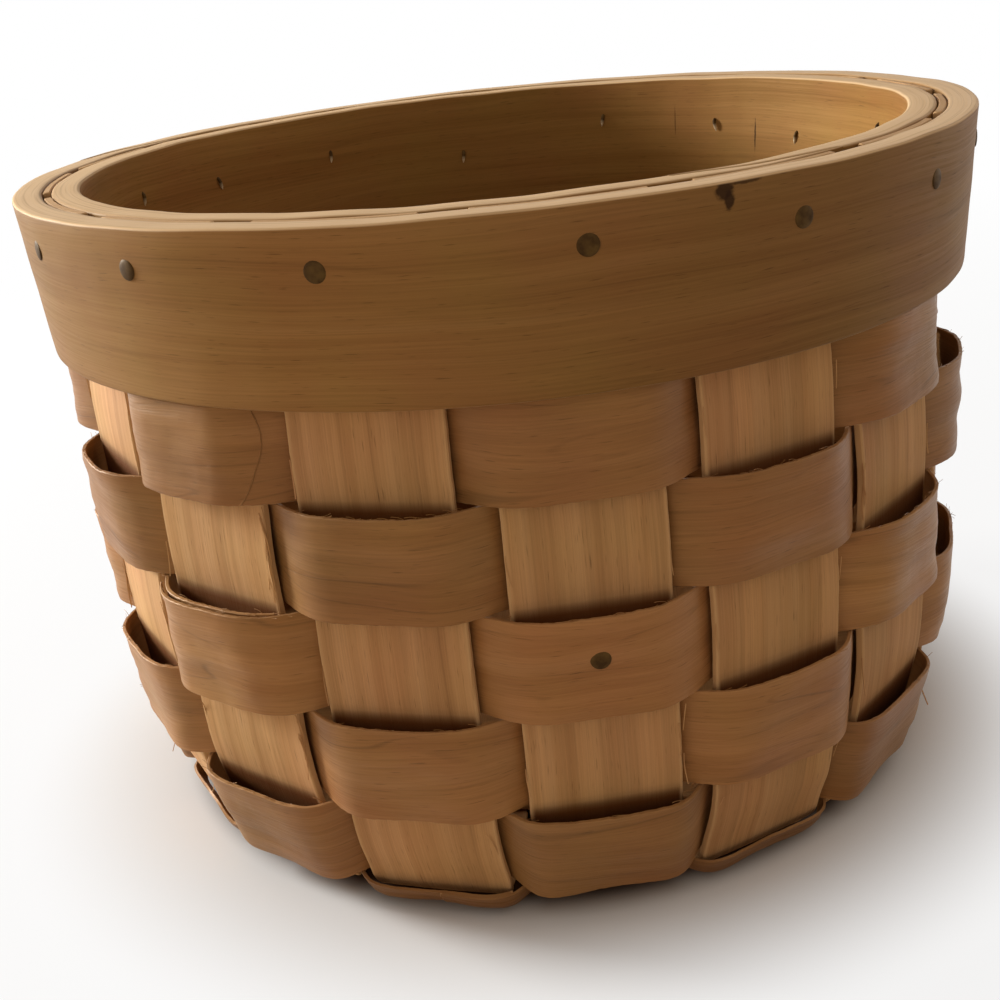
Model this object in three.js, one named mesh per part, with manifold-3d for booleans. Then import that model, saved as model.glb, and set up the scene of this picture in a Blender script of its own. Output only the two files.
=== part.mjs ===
// Planter basket of wood splints. A plain woven base turns up into wall stakes, splint weavers run
// round the wall in front of one stake and behind the next, and two bent bands nailed through the
// stake ends make the rim.
// Millimetres and degrees, Z up. The origin lies on the ground under the middle of the base.
// Angles run from the front (-Y) towards the right (+X).

import * as THREE from 'three';
import Module from 'manifold-3d';

// Overall
const rimDiameter = 200;
const basketHeight = 138;
const clearance = 0.3;

// Rim bands
const bandHeight = 31;
const bandTaper = 2.3;
const outerBandThickness = 5.2;
const innerBandThickness = 5;
const scarfLength = 34;
const scarfTip = 0.5;
const outerScarfAngle = -120;
const innerScarfAngle = 24;
const bandSteps = 80;

// Stakes and the base mat they come from
const stripPairs = 2;
const stakeThickness = 1.6;
const uprightGap = 7.5;
const baseStripGap = 3;
const stakeEndDrop = 0.6;

// Wall profile along the middle of a stake
const footInset = 16;
const footLean = 20;
const foldRadius = 7;
const foldSweep = 6.8;
const swingInset = 3;
const shoulderInset = 10.3;
const shoulderHeight = 28;
const bellyInset = 8.8;
const bellyHeight = 66;

// Weavers
const weaverThickness = 1.1;
const weaverWidth = 20.1;
const rowGap = 0.4;
const narrowestTopRow = 12;
const firstRowRise = 0.7;
const loopRise = 4.9;
const bendAllowance = 0.25;
const lapTailShare = 0.3;
const lapStakes = [0, 9, 0, 7, 8, 5, 4, 3];

// Hoop that binds the fold at the bottom of the wall
const hoopWidth = 3.2;
const hoopLoopRise = 2.5;

// Nails, driven by hand: how far each one strays along the rim and how far it sits under the rim's top
const nailHeadRadius = 1.9;
const nailHeadThickness = 0.8;
const nailDomeRadius = 1.3;
const nailDomeHeight = 0.4;
const nailShankRadius = 0.7;
const nailTipRadius = 0.2;
const nailSides = 8;
const clinchLength = 4.5;
const clinchBend = 1.1;
const nailDrift = [-0.4, -1.1, 2.9, 1.6, 0.4, 1.2, -1.5, 1.1, -5.2, -6.5, -1.1, 2.3, 4.5, 0.2, -1.3, 4.2];
const nailDrop = [7.2, 7.2, 6.5, 8, 8.5, 7.5, 8, 12.2, 10.8, 8.5, 14.5, 9, 10.5, 7.8, 7.4, 6.8];

// Tack through the third weaver, over the stake right of the front
const tackRow = 3;
const tackStake = 2;
const tackDrift = -2.7;
const tackLift = 1.8;
const tackTip = 2.2;

// Colours
const stakeWood = new THREE.MeshStandardMaterial({ color: '#c3986a', roughness: 0.72, metalness: 0 });
const weaverWood = new THREE.MeshStandardMaterial({ color: '#a87a4e', roughness: 0.7, metalness: 0 });
const outerBandWood = new THREE.MeshStandardMaterial({ color: '#b08458', roughness: 0.66, metalness: 0 });
const innerBandWood = new THREE.MeshStandardMaterial({ color: '#86593a', roughness: 0.7, metalness: 0 });
const nailMetal = new THREE.MeshStandardMaterial({ color: '#8c8468', roughness: 0.45, metalness: 1 });

// Sizes that follow from the driving ones
const radians = Math.PI / 180;
const stripsPerWay = 2 * stripPairs;
const stakeCount = 2 * stripsPerWay * 2;
const stakeStep = 360 / stakeCount;
const rimRadius = rimDiameter / 2;
const bandBottom = basketHeight - bandHeight;
const halfStake = stakeThickness / 2;
const halfWeaver = weaverThickness / 2;
const outerBandInside = rimRadius - outerBandThickness;
const waistCorner = outerBandInside - bandTaper - clearance;
const stakeWidth = 2 * Math.PI * waistCorner / stakeCount - uprightGap;
const lipRadius = Math.sqrt((outerBandInside - clearance) ** 2 - (stakeWidth / 2) ** 2) - halfStake;
const waistRadius = Math.sqrt(waistCorner ** 2 - (stakeWidth / 2) ** 2) - halfStake;
const innerBandOutside = lipRadius - halfStake - clearance;
const innerBandInside = innerBandOutside - innerBandThickness;
const footRadius = rimRadius - footInset;
const outerStripOffset = (stripsPerWay - 1) / 2;
const swingRadius = footRadius - swingInset;
const outerStripReach = (swingRadius - foldSweep) * Math.sin(outerStripOffset * stakeStep * radians);
const stripPitch = outerStripReach / outerStripOffset;
const baseStripWidth = stripPitch - baseStripGap;
const matRise = (stakeThickness + clearance) / 2;
const matMiddle = halfStake + matRise;
const foldAngle = 90 - footLean;
const foldCentre = {
  r: footRadius - foldRadius * Math.cos(footLean * radians),
  z: matMiddle + foldRadius,
};

// A point at an angle, a radius and a height
function at(angle, radius, z) {
  return new THREE.Vector3(radius * Math.sin(angle * radians), -radius * Math.cos(angle * radians), z);
}

// The direction round the basket at an angle
function around(angle) {
  return new THREE.Vector3(Math.cos(angle * radians), Math.sin(angle * radians), 0);
}

function stakeAngle(stake) {
  return (stake - outerStripOffset) * stakeStep;
}

function smooth(low, high, value) {
  return THREE.MathUtils.smoothstep(value, low, high);
}

// The wall profile in radius and height: the fold, the bellied wall and the straight run inside the rim
function makeProfile() {
  const fold = new THREE.EllipseCurve(
    foldCentre.r, foldCentre.z, foldRadius, foldRadius, -Math.PI / 2, -footLean * radians);
  const foot = fold.getPoint(1);
  const waist = new THREE.Vector2(waistRadius, bandBottom);
  const lip = new THREE.Vector2(lipRadius, basketHeight);
  const wall = new THREE.SplineCurve([
    foot,
    new THREE.Vector2(rimRadius - shoulderInset, shoulderHeight),
    new THREE.Vector2(rimRadius - bellyInset, bellyHeight),
    waist,
  ]);
  const path = new THREE.CurvePath();
  path.add(fold);
  path.add(wall);
  path.add(new THREE.LineCurve(waist, lip));
  const lengths = path.getCurveLengths();
  return { path, footAt: lengths[0], waistAt: lengths[1], lipAt: lengths[2] };
}

const profile = makeProfile();

// Radius, height and outward normal of the profile at a distance along it
function profileAt(distance) {
  const share = distance / profile.lipAt;
  const point = profile.path.getPoint(share);
  const tangent = profile.path.getTangent(share);
  return { r: point.x, z: point.y, normal: new THREE.Vector2(tangent.y, -tangent.x) };
}

// A stake is narrower in the base, and full width from the shoulder of the wall up
function stakeWidthAt(distance) {
  const grown = smooth(profile.footAt, profile.footAt + shoulderHeight, distance);
  return THREE.MathUtils.lerp(baseStripWidth, stakeWidth, grown);
}

// Closed body through a row of rings with the same number of points each
function loft(rings) {
  const size = rings[0].length;
  const index = [];
  const quad = (a, b, c, d) => index.push(a, b, c, a, c, d);
  for (let ring = 0; ring + 1 < rings.length; ring += 1) {
    for (let k = 0; k < size; k += 1) {
      const next = (k + 1) % size;
      quad(ring * size + k, ring * size + next, (ring + 1) * size + next, (ring + 1) * size + k);
    }
  }
  const last = (rings.length - 1) * size;
  for (let k = 0; k + 1 < size / 2; k += 1) {
    quad(k, size - 1 - k, size - 2 - k, k + 1);
    quad(last + k, last + k + 1, last + size - 2 - k, last + size - 1 - k);
  }
  const geometry = new THREE.BufferGeometry();
  geometry.setAttribute('position', new THREE.Float32BufferAttribute(
    rings.flat().flatMap((point) => [point.x, point.y, point.z]), 3));
  geometry.setIndex(signedVolume(rings.flat(), index) < 0 ? index.reverse() : index);
  return geometry;
}

function signedVolume(points, index) {
  let volume = 0;
  for (let k = 0; k < index.length; k += 3) {
    const cross = new THREE.Vector3().crossVectors(points[index[k + 1]], points[index[k + 2]]);
    volume += points[index[k]].dot(cross) / 6;
  }
  return volume;
}

// Cutting
const wasm = await Module();
wasm.setup();

function toSolid(geometry) {
  return new wasm.Manifold(new wasm.Mesh({
    numProp: 3,
    vertProperties: new Float32Array(geometry.getAttribute('position').array),
    triVerts: new Uint32Array(geometry.getIndex().array),
  }));
}

function cut(geometry, holes) {
  let solid = toSolid(geometry);
  for (const hole of holes) {
    solid = solid.subtract(toSolid(hole));
  }
  const mesh = solid.getMesh();
  const result = new THREE.BufferGeometry();
  result.setAttribute('position', new THREE.BufferAttribute(new Float32Array(mesh.vertProperties), 3));
  result.setIndex(new THREE.BufferAttribute(new Uint32Array(mesh.triVerts), 1));
  return result;
}

// Round body along a path in the upright plane at one angle. Each station has a radius from the axis
// of the basket, a height, a half width and how far the path has turned down from level.
function roundBody(angle, shift, stations) {
  const side = around(angle);
  const origin = side.clone().multiplyScalar(shift);
  const rings = stations.map((station) => {
    const centre = at(angle, station.r, station.z).add(origin);
    const up = at(angle, -Math.sin(station.dip * radians), Math.cos(station.dip * radians));
    return Array.from({ length: nailSides }, (_, k) => {
      const turn = 2 * Math.PI * (k + 0.5) / nailSides;
      return centre.clone()
        .addScaledVector(side, station.half * Math.cos(turn))
        .addScaledVector(up, station.half * Math.sin(turn));
    });
  });
  return loft(rings);
}

// Clearance hole for a nail between two radii
function nailHole(nail, inside, outside) {
  const half = nailShankRadius + clearance;
  const ends = [inside, outside].map((r) => ({ r, z: nail.z, half, dip: 0 }));
  return roundBody(nail.angle, nail.shift, ends);
}

// The rim's radius shrinks downwards by the band's taper
function bandFall(z) {
  return bandTaper * (basketHeight - z) / bandHeight;
}

const rimNails = Array.from({ length: stakeCount }, (_, stake) => ({
  angle: stakeAngle(stake),
  shift: nailDrift[stake % nailDrift.length],
  z: basketHeight - nailDrop[stake % nailDrop.length],
}));

// Radius of a band's face where a nail that strays to one side meets it
function seatRadius(nail, radius, z) {
  return Math.sqrt((radius - bandFall(z)) ** 2 - nail.shift ** 2);
}

function nailHead(seat, z) {
  const top = seat + nailHeadThickness;
  return [
    { r: top, z, half: nailDomeRadius, dip: 0 },
    { r: top - nailDomeHeight, z, half: nailHeadRadius, dip: 0 },
    { r: seat, z, half: nailHeadRadius, dip: 0 },
    { r: seat, z, half: nailShankRadius, dip: 0 },
  ];
}

// A rim nail: a domed head outside, the shank through both bands and a stake, and the tip bent down inside
function makeRimNail(nail) {
  const seat = seatRadius(nail, rimRadius, nail.z) + clearance;
  const face = seatRadius(nail, innerBandInside, nail.z - clinchLength);
  const wall = face - clearance - nailShankRadius;
  const halfway = clinchBend * (1 - Math.SQRT1_2);
  const stations = [
    ...nailHead(seat, nail.z),
    { r: wall + clinchBend, z: nail.z, half: nailShankRadius, dip: 0 },
    { r: wall + halfway, z: nail.z - halfway, half: nailShankRadius, dip: 45 },
    { r: wall, z: nail.z - clinchBend, half: nailShankRadius, dip: 90 },
    { r: wall, z: nail.z - clinchLength, half: nailTipRadius, dip: 90 },
  ];
  return roundBody(nail.angle, nail.shift, stations);
}

// A rim band: a bent strip whose thinned ends lap in a scarf joint
function makeBand(outside, thickness, scarfAngle) {
  const scarf = scarfLength / outside / radians;
  const stepAngle = 360 / bandSteps;
  const gapAngle = clearance / outside / radians;
  const scarfSteps = Math.ceil(scarf / stepAngle);
  const split = (share) => THREE.MathUtils.lerp(scarfTip, thickness - scarfTip, share);
  const rings = [];
  const addRing = (angle, inner, outer) => {
    rings.push([[outer, basketHeight], [outer, bandBottom], [inner, bandBottom], [inner, basketHeight]]
      .map(([depth, z]) => at(angle, outside - thickness + depth - bandFall(z), z)));
  };
  for (let k = 0; k <= scarfSteps; k += 1) {
    addRing(scarfAngle + scarf * k / scarfSteps, 0, split(k / scarfSteps) - clearance / 2);
  }
  addRing(scarfAngle + scarf + gapAngle, 0, split(1) - clearance / 2);
  const bodySteps = bandSteps - scarfSteps;
  const bodyStart = scarfAngle + scarf + gapAngle;
  const bodyEnd = scarfAngle + 360 - gapAngle;
  for (let k = 0; k <= bodySteps; k += 1) {
    addRing(THREE.MathUtils.lerp(bodyStart, bodyEnd, k / bodySteps), 0, thickness);
  }
  for (let k = 0; k <= scarfSteps; k += 1) {
    const angle = k === 0 ? bodyEnd : scarfAngle + 360 + scarf * k / scarfSteps;
    addRing(angle, split(k / scarfSteps) + clearance / 2, thickness);
  }
  const holes = rimNails.map((nail) => nailHole(nail, outside - 2 * thickness, outside + thickness));
  return cut(loft(rings), holes);
}

// Height of a base strip where it crosses the strips of the other way, over and under in turn
function matLevel(strip, crossing) {
  return matMiddle + ((strip + crossing) % 2 === 0 ? matRise : -matRise);
}

// Stations of one upright, from the rim down to the edge of the mat. The strip leaves the mat straight,
// swings round to face outwards on an arc in plan, and folds up on the way.
function uprightStations(offset, level) {
  const angle = offset * stakeStep;
  const turn = angle * radians;
  const straight = offset * stripPitch;
  const sweep = swingRadius - straight / Math.sin(turn);
  const arcRadius = sweep / Math.tan(turn / 2);
  const arcLength = arcRadius * turn;
  const planStation = (radius, z) => {
    if (radius >= swingRadius) {
      return { point: at(angle, radius, z), side: around(angle), width: baseStripWidth };
    }
    const left = turn * Math.max(0, 1 - (swingRadius - radius) / arcLength);
    const point = at(angle, swingRadius, z);
    point.x -= arcRadius * (Math.cos(left) - Math.cos(turn));
    point.y += arcRadius * (Math.sin(turn) - Math.sin(left));
    return { point, side: around(left / radians), width: baseStripWidth };
  };
  const wallStation = (distance) => {
    const place = profileAt(distance);
    return { point: at(angle, place.r, place.z), side: around(angle), width: stakeWidthAt(distance) };
  };
  const stations = [];
  const rimSteps = 3;
  for (let k = 0; k < rimSteps; k += 1) {
    stations.push(wallStation(
      THREE.MathUtils.lerp(profile.lipAt - stakeEndDrop, profile.waistAt, k / rimSteps)));
  }
  const wallSteps = 11;
  for (let k = 0; k < wallSteps; k += 1) {
    stations.push(wallStation(THREE.MathUtils.lerp(profile.waistAt, profile.footAt, k / wallSteps)));
  }
  const foldSteps = 5;
  for (let k = 0; k <= foldSteps; k += 1) {
    const share = 1 - k / foldSteps;
    const rise = foldAngle * share * radians;
    const sunk = (level - matMiddle) * (1 - share) ** 2;
    stations.push(planStation(
      foldCentre.r + foldRadius * Math.sin(rise), foldCentre.z - foldRadius * Math.cos(rise) + sunk));
  }
  stations.push(planStation(swingRadius - arcLength, level));
  return stations;
}

// One strip: up one wall, across the base and up the opposite wall
function stripStations(strip) {
  const offset = strip - outerStripOffset;
  const front = uprightStations(offset, matLevel(strip, 0));
  const back = uprightStations(offset, matLevel(strip, stripsPerWay - 1)).reverse();
  for (const station of back) {
    station.point.y *= -1;
    station.side.y *= -1;
  }
  const mat = [];
  for (let crossing = 0; crossing < stripsPerWay; crossing += 1) {
    for (const edge of [-1, 1]) {
      const y = (crossing - outerStripOffset) * stripPitch + edge * (baseStripWidth / 2 + clearance);
      const point = new THREE.Vector3(offset * stripPitch, y, matLevel(strip, crossing));
      mat.push({ point, side: around(0), width: baseStripWidth });
    }
  }
  return [...front, ...mat, ...back];
}

// The strip's body keeps its thickness through every bend, because the rings are mitred
function makeStrip(strip) {
  const stations = stripStations(strip);
  const leg = (k) => new THREE.Vector3()
    .subVectors(stations[k + 1].point, stations[k].point)
    .normalize();
  const rings = stations.map((station, k) => {
    const arriving = leg(Math.max(0, k - 1));
    const leaving = leg(Math.min(stations.length - 2, k));
    const heading = arriving.clone().add(leaving).normalize();
    const reach = halfStake / heading.dot(arriving);
    const face = heading.cross(station.side).normalize();
    return [[1, 1], [-1, 1], [-1, -1], [1, -1]].map(([across, out]) => station.point.clone()
      .addScaledVector(station.side, across * station.width / 2)
      .addScaledVector(face, out * reach));
  });
  return loft(rings);
}

// The wave of a weaver at one level of the wall. Its swing has to clear the corners of the stakes on
// both sides, so it is a cosine that is squared up until it passes each corner with room to spare.
function makeWave(row, distance, rise, spare) {
  const place = profileAt(distance);
  const half = stakeWidthAt(distance) / 2;
  const edge = Math.atan(half / (place.r - halfStake)) / radians;
  const phase = edge * stakeCount / 2 * radians;
  const middle = (Math.hypot(place.r, half) - place.r) * place.normal.x;
  let slant = 1;
  let sharpness = 1;
  for (let round = 0; round < 6; round += 1) {
    const swing = halfStake + spare + halfWeaver * slant;
    sharpness = Math.sqrt((rise / swing) ** 2 - 1) / Math.tan(phase);
    const spread = Math.hypot(Math.cos(phase), sharpness * Math.sin(phase));
    const slope = rise * sharpness ** 2 * Math.sin(phase) / spread ** 3 * stakeCount / 2 / place.r;
    slant = Math.hypot(1, slope);
  }
  const crest = stakeAngle((row + 1) % 2);
  const height = (angle) => {
    const turn = (angle - crest) * stakeCount / 2 * radians;
    return middle + rise * Math.cos(turn) / Math.hypot(Math.cos(turn), sharpness * Math.sin(turn));
  };
  return { place, edge, height };
}

// A weaver row between two distances along the profile. Its ends lap over one stake, where the last
// stretch lies outside the first.
function makeWeaver(row, low, high, rise, lapStake, bands) {
  const spare = bands > 1 ? clearance + bendAllowance : clearance;
  const waves = [];
  for (let k = 0; k <= bands; k += 1) {
    waves.push(makeWave(row, THREE.MathUtils.lerp(low, high, k / bands), rise, spare));
  }
  const edge = Math.max(...waves.map((wave) => wave.edge));
  const lapAngle = stakeAngle(lapStake);
  const lapStep = weaverThickness + clearance;
  const rampEnd = lapAngle + 360 - edge;
  const rampStart = rampEnd - (stakeStep - 2 * edge);
  const swing = (wave, angle) => wave.height(angle) + lapStep * smooth(rampStart, rampEnd, angle);
  const angles = [];
  for (let stake = 0; stake <= stakeCount; stake += 1) {
    for (const share of [-edge, -edge / 2, 0, edge / 2, edge, stakeStep / 2]) {
      angles.push(lapAngle + stake * stakeStep + share);
    }
  }
  angles[angles.length - 1] = lapAngle + 360 + edge + lapTailShare * (stakeStep - 2 * edge);
  const probe = 0.05;
  const facePoint = (wave, angle, face) => {
    const { place } = wave;
    const climb = (swing(wave, angle + probe) - swing(wave, angle - probe)) / (2 * probe * radians);
    const slope = Math.atan2(climb, place.r);
    const out = swing(wave, angle) + face * halfWeaver * Math.cos(slope);
    return at(angle, place.r + place.normal.x * out, place.z + place.normal.y * out)
      .addScaledVector(around(angle), -face * halfWeaver * Math.sin(slope));
  };
  const rings = angles.map((angle) => [
    ...waves.map((wave) => facePoint(wave, angle, 1)),
    ...waves.map((wave) => facePoint(wave, angle, -1)).reverse(),
  ]);
  return { geometry: loft(rings), crest: waves[0].height(stakeAngle((row + 1) % 2)) };
}

// The rows that fit between the fold and the rim: full width from the bottom, what is left at the top
function planRows() {
  const start = profile.footAt + firstRowRise;
  const room = profile.waistAt - rowGap - start;
  const pitch = weaverWidth + rowGap;
  const full = Math.floor((room - narrowestTopRow) / pitch);
  const rows = [];
  for (let level = 0; level <= full; level += 1) {
    const low = start + level * pitch;
    const high = level < full ? low + weaverWidth : start + room;
    rows.unshift({ low, high });
  }
  return rows;
}

// The tack: head on the crest of its weaver, shank through the weaver and the stake behind
function planTack(row, crest) {
  const place = profileAt((row.low + row.high) / 2);
  return {
    angle: stakeAngle(tackStake),
    shift: tackDrift,
    z: place.z + tackLift,
    seat: place.r + crest + halfWeaver + clearance,
    point: place.r - halfStake - tackTip,
  };
}

function makeTack(tack) {
  const stations = [
    ...nailHead(tack.seat, tack.z),
    { r: tack.point + tackTip, z: tack.z, half: nailShankRadius, dip: 0 },
    { r: tack.point, z: tack.z, half: nailTipRadius, dip: 0 },
  ];
  return roundBody(tack.angle, tack.shift, stations);
}

// Assembly
const basket = new THREE.Group();

function addPiece(name, geometry, material) {
  const mesh = new THREE.Mesh(geometry, material);
  mesh.name = name;
  basket.add(mesh);
  return mesh;
}

const rows = planRows();
const weavers = rows.map((row, k) => makeWeaver(
  k + 1, row.low, row.high, loopRise, lapStakes[k % lapStakes.length], k < rows.length / 2 ? 1 : 2));
const tack = planTack(rows[tackRow - 1], weavers[tackRow - 1].crest);
const tackHole = nailHole(tack, tack.point - tackTip, tack.seat + tackTip);

weavers.forEach((weaver, k) => {
  const geometry = k + 1 === tackRow ? cut(weaver.geometry, [tackHole]) : weaver.geometry;
  addPiece(`weaver_row_${k + 1}`, geometry, weaverWood);
});

const hoopRow = rows.length + 1;
const hoopTop = rows[rows.length - 1].low - rowGap;
const hoop = makeWeaver(hoopRow, hoopTop - hoopWidth, hoopTop, hoopLoopRise, (hoopRow + 1) % 2, 2);
addPiece('base_hoop', hoop.geometry, weaverWood);

// The strips that run left to right are those that run front to back, turned a quarter
const quarter = new THREE.Matrix4().makeRotationZ(Math.PI / 2);
const allHoles = rimNails.map((nail) => nailHole(nail, innerBandInside, rimRadius));
for (let strip = 0; strip < stripsPerWay; strip += 1) {
  const ends = [strip, 3 * stripsPerWay - 1 - strip];
  for (const way of ['front_back', 'left_right']) {
    const turned = way === 'left_right';
    const geometry = turned ? makeStrip(strip).applyMatrix4(quarter) : makeStrip(strip);
    const stakes = ends.map((stake) => stake + (turned ? stripsPerWay : 0));
    const holes = stakes.map((stake) => allHoles[stake % stakeCount]);
    if (stakes.includes(tackStake)) {
      holes.push(tackHole);
    }
    addPiece(`stake_strip_${way}_${strip + 1}`, cut(geometry, holes), stakeWood);
  }
}

addPiece('rim_band_outer', makeBand(rimRadius, outerBandThickness, outerScarfAngle), outerBandWood);
addPiece('rim_band_inner', makeBand(innerBandOutside, innerBandThickness, innerScarfAngle), innerBandWood);

rimNails.forEach((nail, stake) => {
  addPiece(`rim_nail_${String(stake + 1).padStart(2, '0')}`, makeRimNail(nail), nailMetal);
});
addPiece('weaver_tack', makeTack(tack), nailMetal);

export default basket;
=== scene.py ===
# %% [markdown]
# # A planter basket of wood splints
# The basket is plaited from flat strips of peeled wood. Eight broad strips cross in the base and turn
# up into sixteen stakes, five splints run round the wall over one stake and under the next, and two
# bent bands, nailed through the stake ends, make the rim.
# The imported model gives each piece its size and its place, so it is loaded first and never moved. The
# cells below dress every piece with a finer mesh and with a wood of its own.

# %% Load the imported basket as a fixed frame
import math

import bpy
import numpy as np
from mathutils import Matrix, Vector, noise


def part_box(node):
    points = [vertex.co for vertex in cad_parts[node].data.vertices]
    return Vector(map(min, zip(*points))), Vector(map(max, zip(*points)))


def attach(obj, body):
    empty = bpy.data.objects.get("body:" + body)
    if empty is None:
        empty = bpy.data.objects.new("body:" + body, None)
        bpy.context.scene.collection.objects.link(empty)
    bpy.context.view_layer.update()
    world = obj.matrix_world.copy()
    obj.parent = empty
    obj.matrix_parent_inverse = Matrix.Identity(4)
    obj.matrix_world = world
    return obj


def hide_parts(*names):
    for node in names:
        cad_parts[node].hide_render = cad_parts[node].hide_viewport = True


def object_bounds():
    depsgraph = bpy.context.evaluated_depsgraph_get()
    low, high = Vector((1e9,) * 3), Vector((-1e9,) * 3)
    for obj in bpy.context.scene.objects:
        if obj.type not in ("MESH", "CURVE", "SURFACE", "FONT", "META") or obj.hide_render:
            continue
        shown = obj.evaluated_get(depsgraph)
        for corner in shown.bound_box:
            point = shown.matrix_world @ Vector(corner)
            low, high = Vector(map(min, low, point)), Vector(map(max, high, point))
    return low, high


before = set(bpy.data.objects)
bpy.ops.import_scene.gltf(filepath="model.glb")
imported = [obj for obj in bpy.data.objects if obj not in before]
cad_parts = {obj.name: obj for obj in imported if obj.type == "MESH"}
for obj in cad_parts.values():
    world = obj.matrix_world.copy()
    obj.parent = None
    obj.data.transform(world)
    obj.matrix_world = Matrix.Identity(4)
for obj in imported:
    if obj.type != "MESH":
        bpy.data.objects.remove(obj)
cad_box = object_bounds()
MM = 0.001
print(len(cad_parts), "nodes in the frame, highest point", round(cad_box[1].z / MM, 1), "mm")

# %% [markdown]
# ## Nodes in code
# Materials and Geometry Nodes are both graphs, so one small function can build either: it adds a node,
# sets its properties, and links or fills its inputs. Colours are written as sRGB hex values, as a
# paint program shows them, and are turned to the linear values that the shaders work in.

# %% Helpers for nodes, materials and objects
def add(tree, kind, inputs=(), **settings):
    """Adds a node and returns its outputs. Inputs come as a list in order, or as a dict by name."""
    node = tree.nodes.new(kind)
    for name, value in settings.items():
        setattr(node, name, value)
    for key, value in inputs.items() if isinstance(inputs, dict) else enumerate(inputs):
        if isinstance(value, bpy.types.NodeSocket):
            tree.links.new(value, node.inputs[key])
        elif value is not None:
            node.inputs[key].default_value = value
    return node.outputs


def linear(hex_colour):
    parts = [int(hex_colour[k:k + 2], 16) / 255 for k in (1, 3, 5)]
    return [p / 12.92 if p <= 0.04045 else ((p + 0.055) / 1.055) ** 2.4 for p in parts] + [1.0]


def blank_material(name):
    """A new material and its node tree, which is empty."""
    material = bpy.data.materials.new(name)
    material.use_nodes = True
    material.node_tree.nodes.clear()
    return material, material.node_tree


def put(name, data):
    """A new object in the scene."""
    thing = bpy.data.objects.new(name, data)
    bpy.context.scene.collection.objects.link(thing)
    return thing


print("helpers ready, mid grey is", round(linear("#808080")[0], 3), "in linear light")

# %% [markdown]
# ## Camera
# A photograph fixes a camera by seven numbers: where it stands, where it points, how it is rolled and
# how long its lens is. They were solved from the rim's two ellipses and the nail heads. The camera
# stands a hand's length above the rim, close enough that the bottom looks smaller than the top.

# %% Camera at the photograph's view
CAMERA_PLACE = Vector((29.39, -316.5, 175.93)) * MM
CAMERA_HEADING = math.radians(6.442)
CAMERA_TILT = math.radians(68.89)
CAMERA_ROLL = math.radians(-6.07)
CAMERA_SENSOR = 36
CAMERA_LENS = 51.87

camera_data = bpy.data.cameras.new("photo_camera")
camera_data.sensor_width = CAMERA_SENSOR
camera_data.lens = CAMERA_LENS
camera = put("photo_camera", camera_data)
camera.matrix_world = (
    Matrix.Translation(CAMERA_PLACE)
    @ Matrix.Rotation(CAMERA_HEADING, 4, "Z")
    @ Matrix.Rotation(CAMERA_TILT, 4, "X")
    @ Matrix.Rotation(CAMERA_ROLL, 4, "Z")
)
bpy.context.scene.camera = camera
bpy.context.scene.view_settings.view_transform = "Standard"
print("camera", round(CAMERA_PLACE.length / MM), "mm from the middle of the base")

# %% [markdown]
# ## Light and floor
# The basket was photographed beside a window: one soft light from the left and behind, a weaker light
# from the room in front, a still weaker one from a wall on the right, and much light thrown back up by
# a pale table. Three area lamps, a dim world that is darker overhead, and the floor give the same.
# The white behind the object is only what the camera and the reflections see, so it adds no light.

# %% World and lamps
FILL_LEVEL = 0.43
FILL_OVERHEAD = 0.4
FILL_COLOUR = "#f6dfc6"
WINDOW_COLOUR = "#fffaf0"
# Each lamp has a place and a size in metres, a power in watts and a colour
LAMPS = {
    "window_light": (Vector((-0.96, 0.28, 0.36)), 0.28, 17.5, WINDOW_COLOUR),
    "room_light": (Vector((-0.45, -1.25, 0.2)), 1.3, 4.5, FILL_COLOUR),
    "wall_light": (Vector((1.2, 0.25, 0.4)), 1.0, 2.2, FILL_COLOUR),
}


def seen_directly(tree):
    """1 for what the camera sees, straight or in a reflection, and 0 for what only carries light."""
    path = add(tree, "ShaderNodeLightPath")
    seen = path["Is Camera Ray"]
    for ray in ("Is Glossy Ray", "Is Transmission Ray"):
        seen = add(tree, "ShaderNodeMath", [seen, path[ray]], operation="MAXIMUM")[0]
    return seen


def make_world():
    world = bpy.data.worlds.new("pale_room")
    world.use_nodes = True
    tree = world.node_tree
    tree.nodes.clear()
    upward = add(tree, "ShaderNodeSeparateXYZ", [add(tree, "ShaderNodeTexCoord")["Generated"]])["Z"]
    level = add(tree, "ShaderNodeMapRange", [upward, 0.0, 1.0, FILL_LEVEL, FILL_OVERHEAD])[0]
    fill = add(tree, "ShaderNodeBackground", [linear(FILL_COLOUR), level])[0]
    white = add(tree, "ShaderNodeBackground", [linear("#ffffff"), 1.0])[0]
    mixed = add(tree, "ShaderNodeMixShader", [seen_directly(tree), fill, white])[0]
    add(tree, "ShaderNodeOutputWorld", [mixed])
    bpy.context.scene.world = world


def make_lamp(name, place, size, power, colour):
    lamp = bpy.data.lights.new(name, "AREA")
    lamp.size = size
    lamp.energy = power
    lamp.color = linear(colour)[:3]
    aim = Vector((0, 0, cad_box[1].z / 2)) - place
    turned = aim.to_track_quat("-Z", "Y").to_matrix().to_4x4()
    put(name, lamp).matrix_world = Matrix.Translation(place) @ turned


make_world()
for lamp_name, lamp_values in LAMPS.items():
    make_lamp(lamp_name, *lamp_values)
    print(lamp_name, lamp_values[2], "W")

# %% [markdown]
# Close round the basket the floor shows its own card, which keeps the shadow, and further off it fades
# to white. Right under the basket the card is painted dark brown, a painted shadow as deep as a narrow
# gap looks.

# %% The floor
FLOOR_SIZE = 6.0
FLOOR_WHITE = 0.86
FLOOR_SHADE = (0.079, 0.089)
FLOOR_NEAR = (0.083, 0.13)
FLOOR_FAR = 0.7
CARD_COLOUR = "#dde2ea"
CARD_PAINTED_SHADOW = "#3a281a"
CARD_BOUNCE = "#c4b49c"


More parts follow.
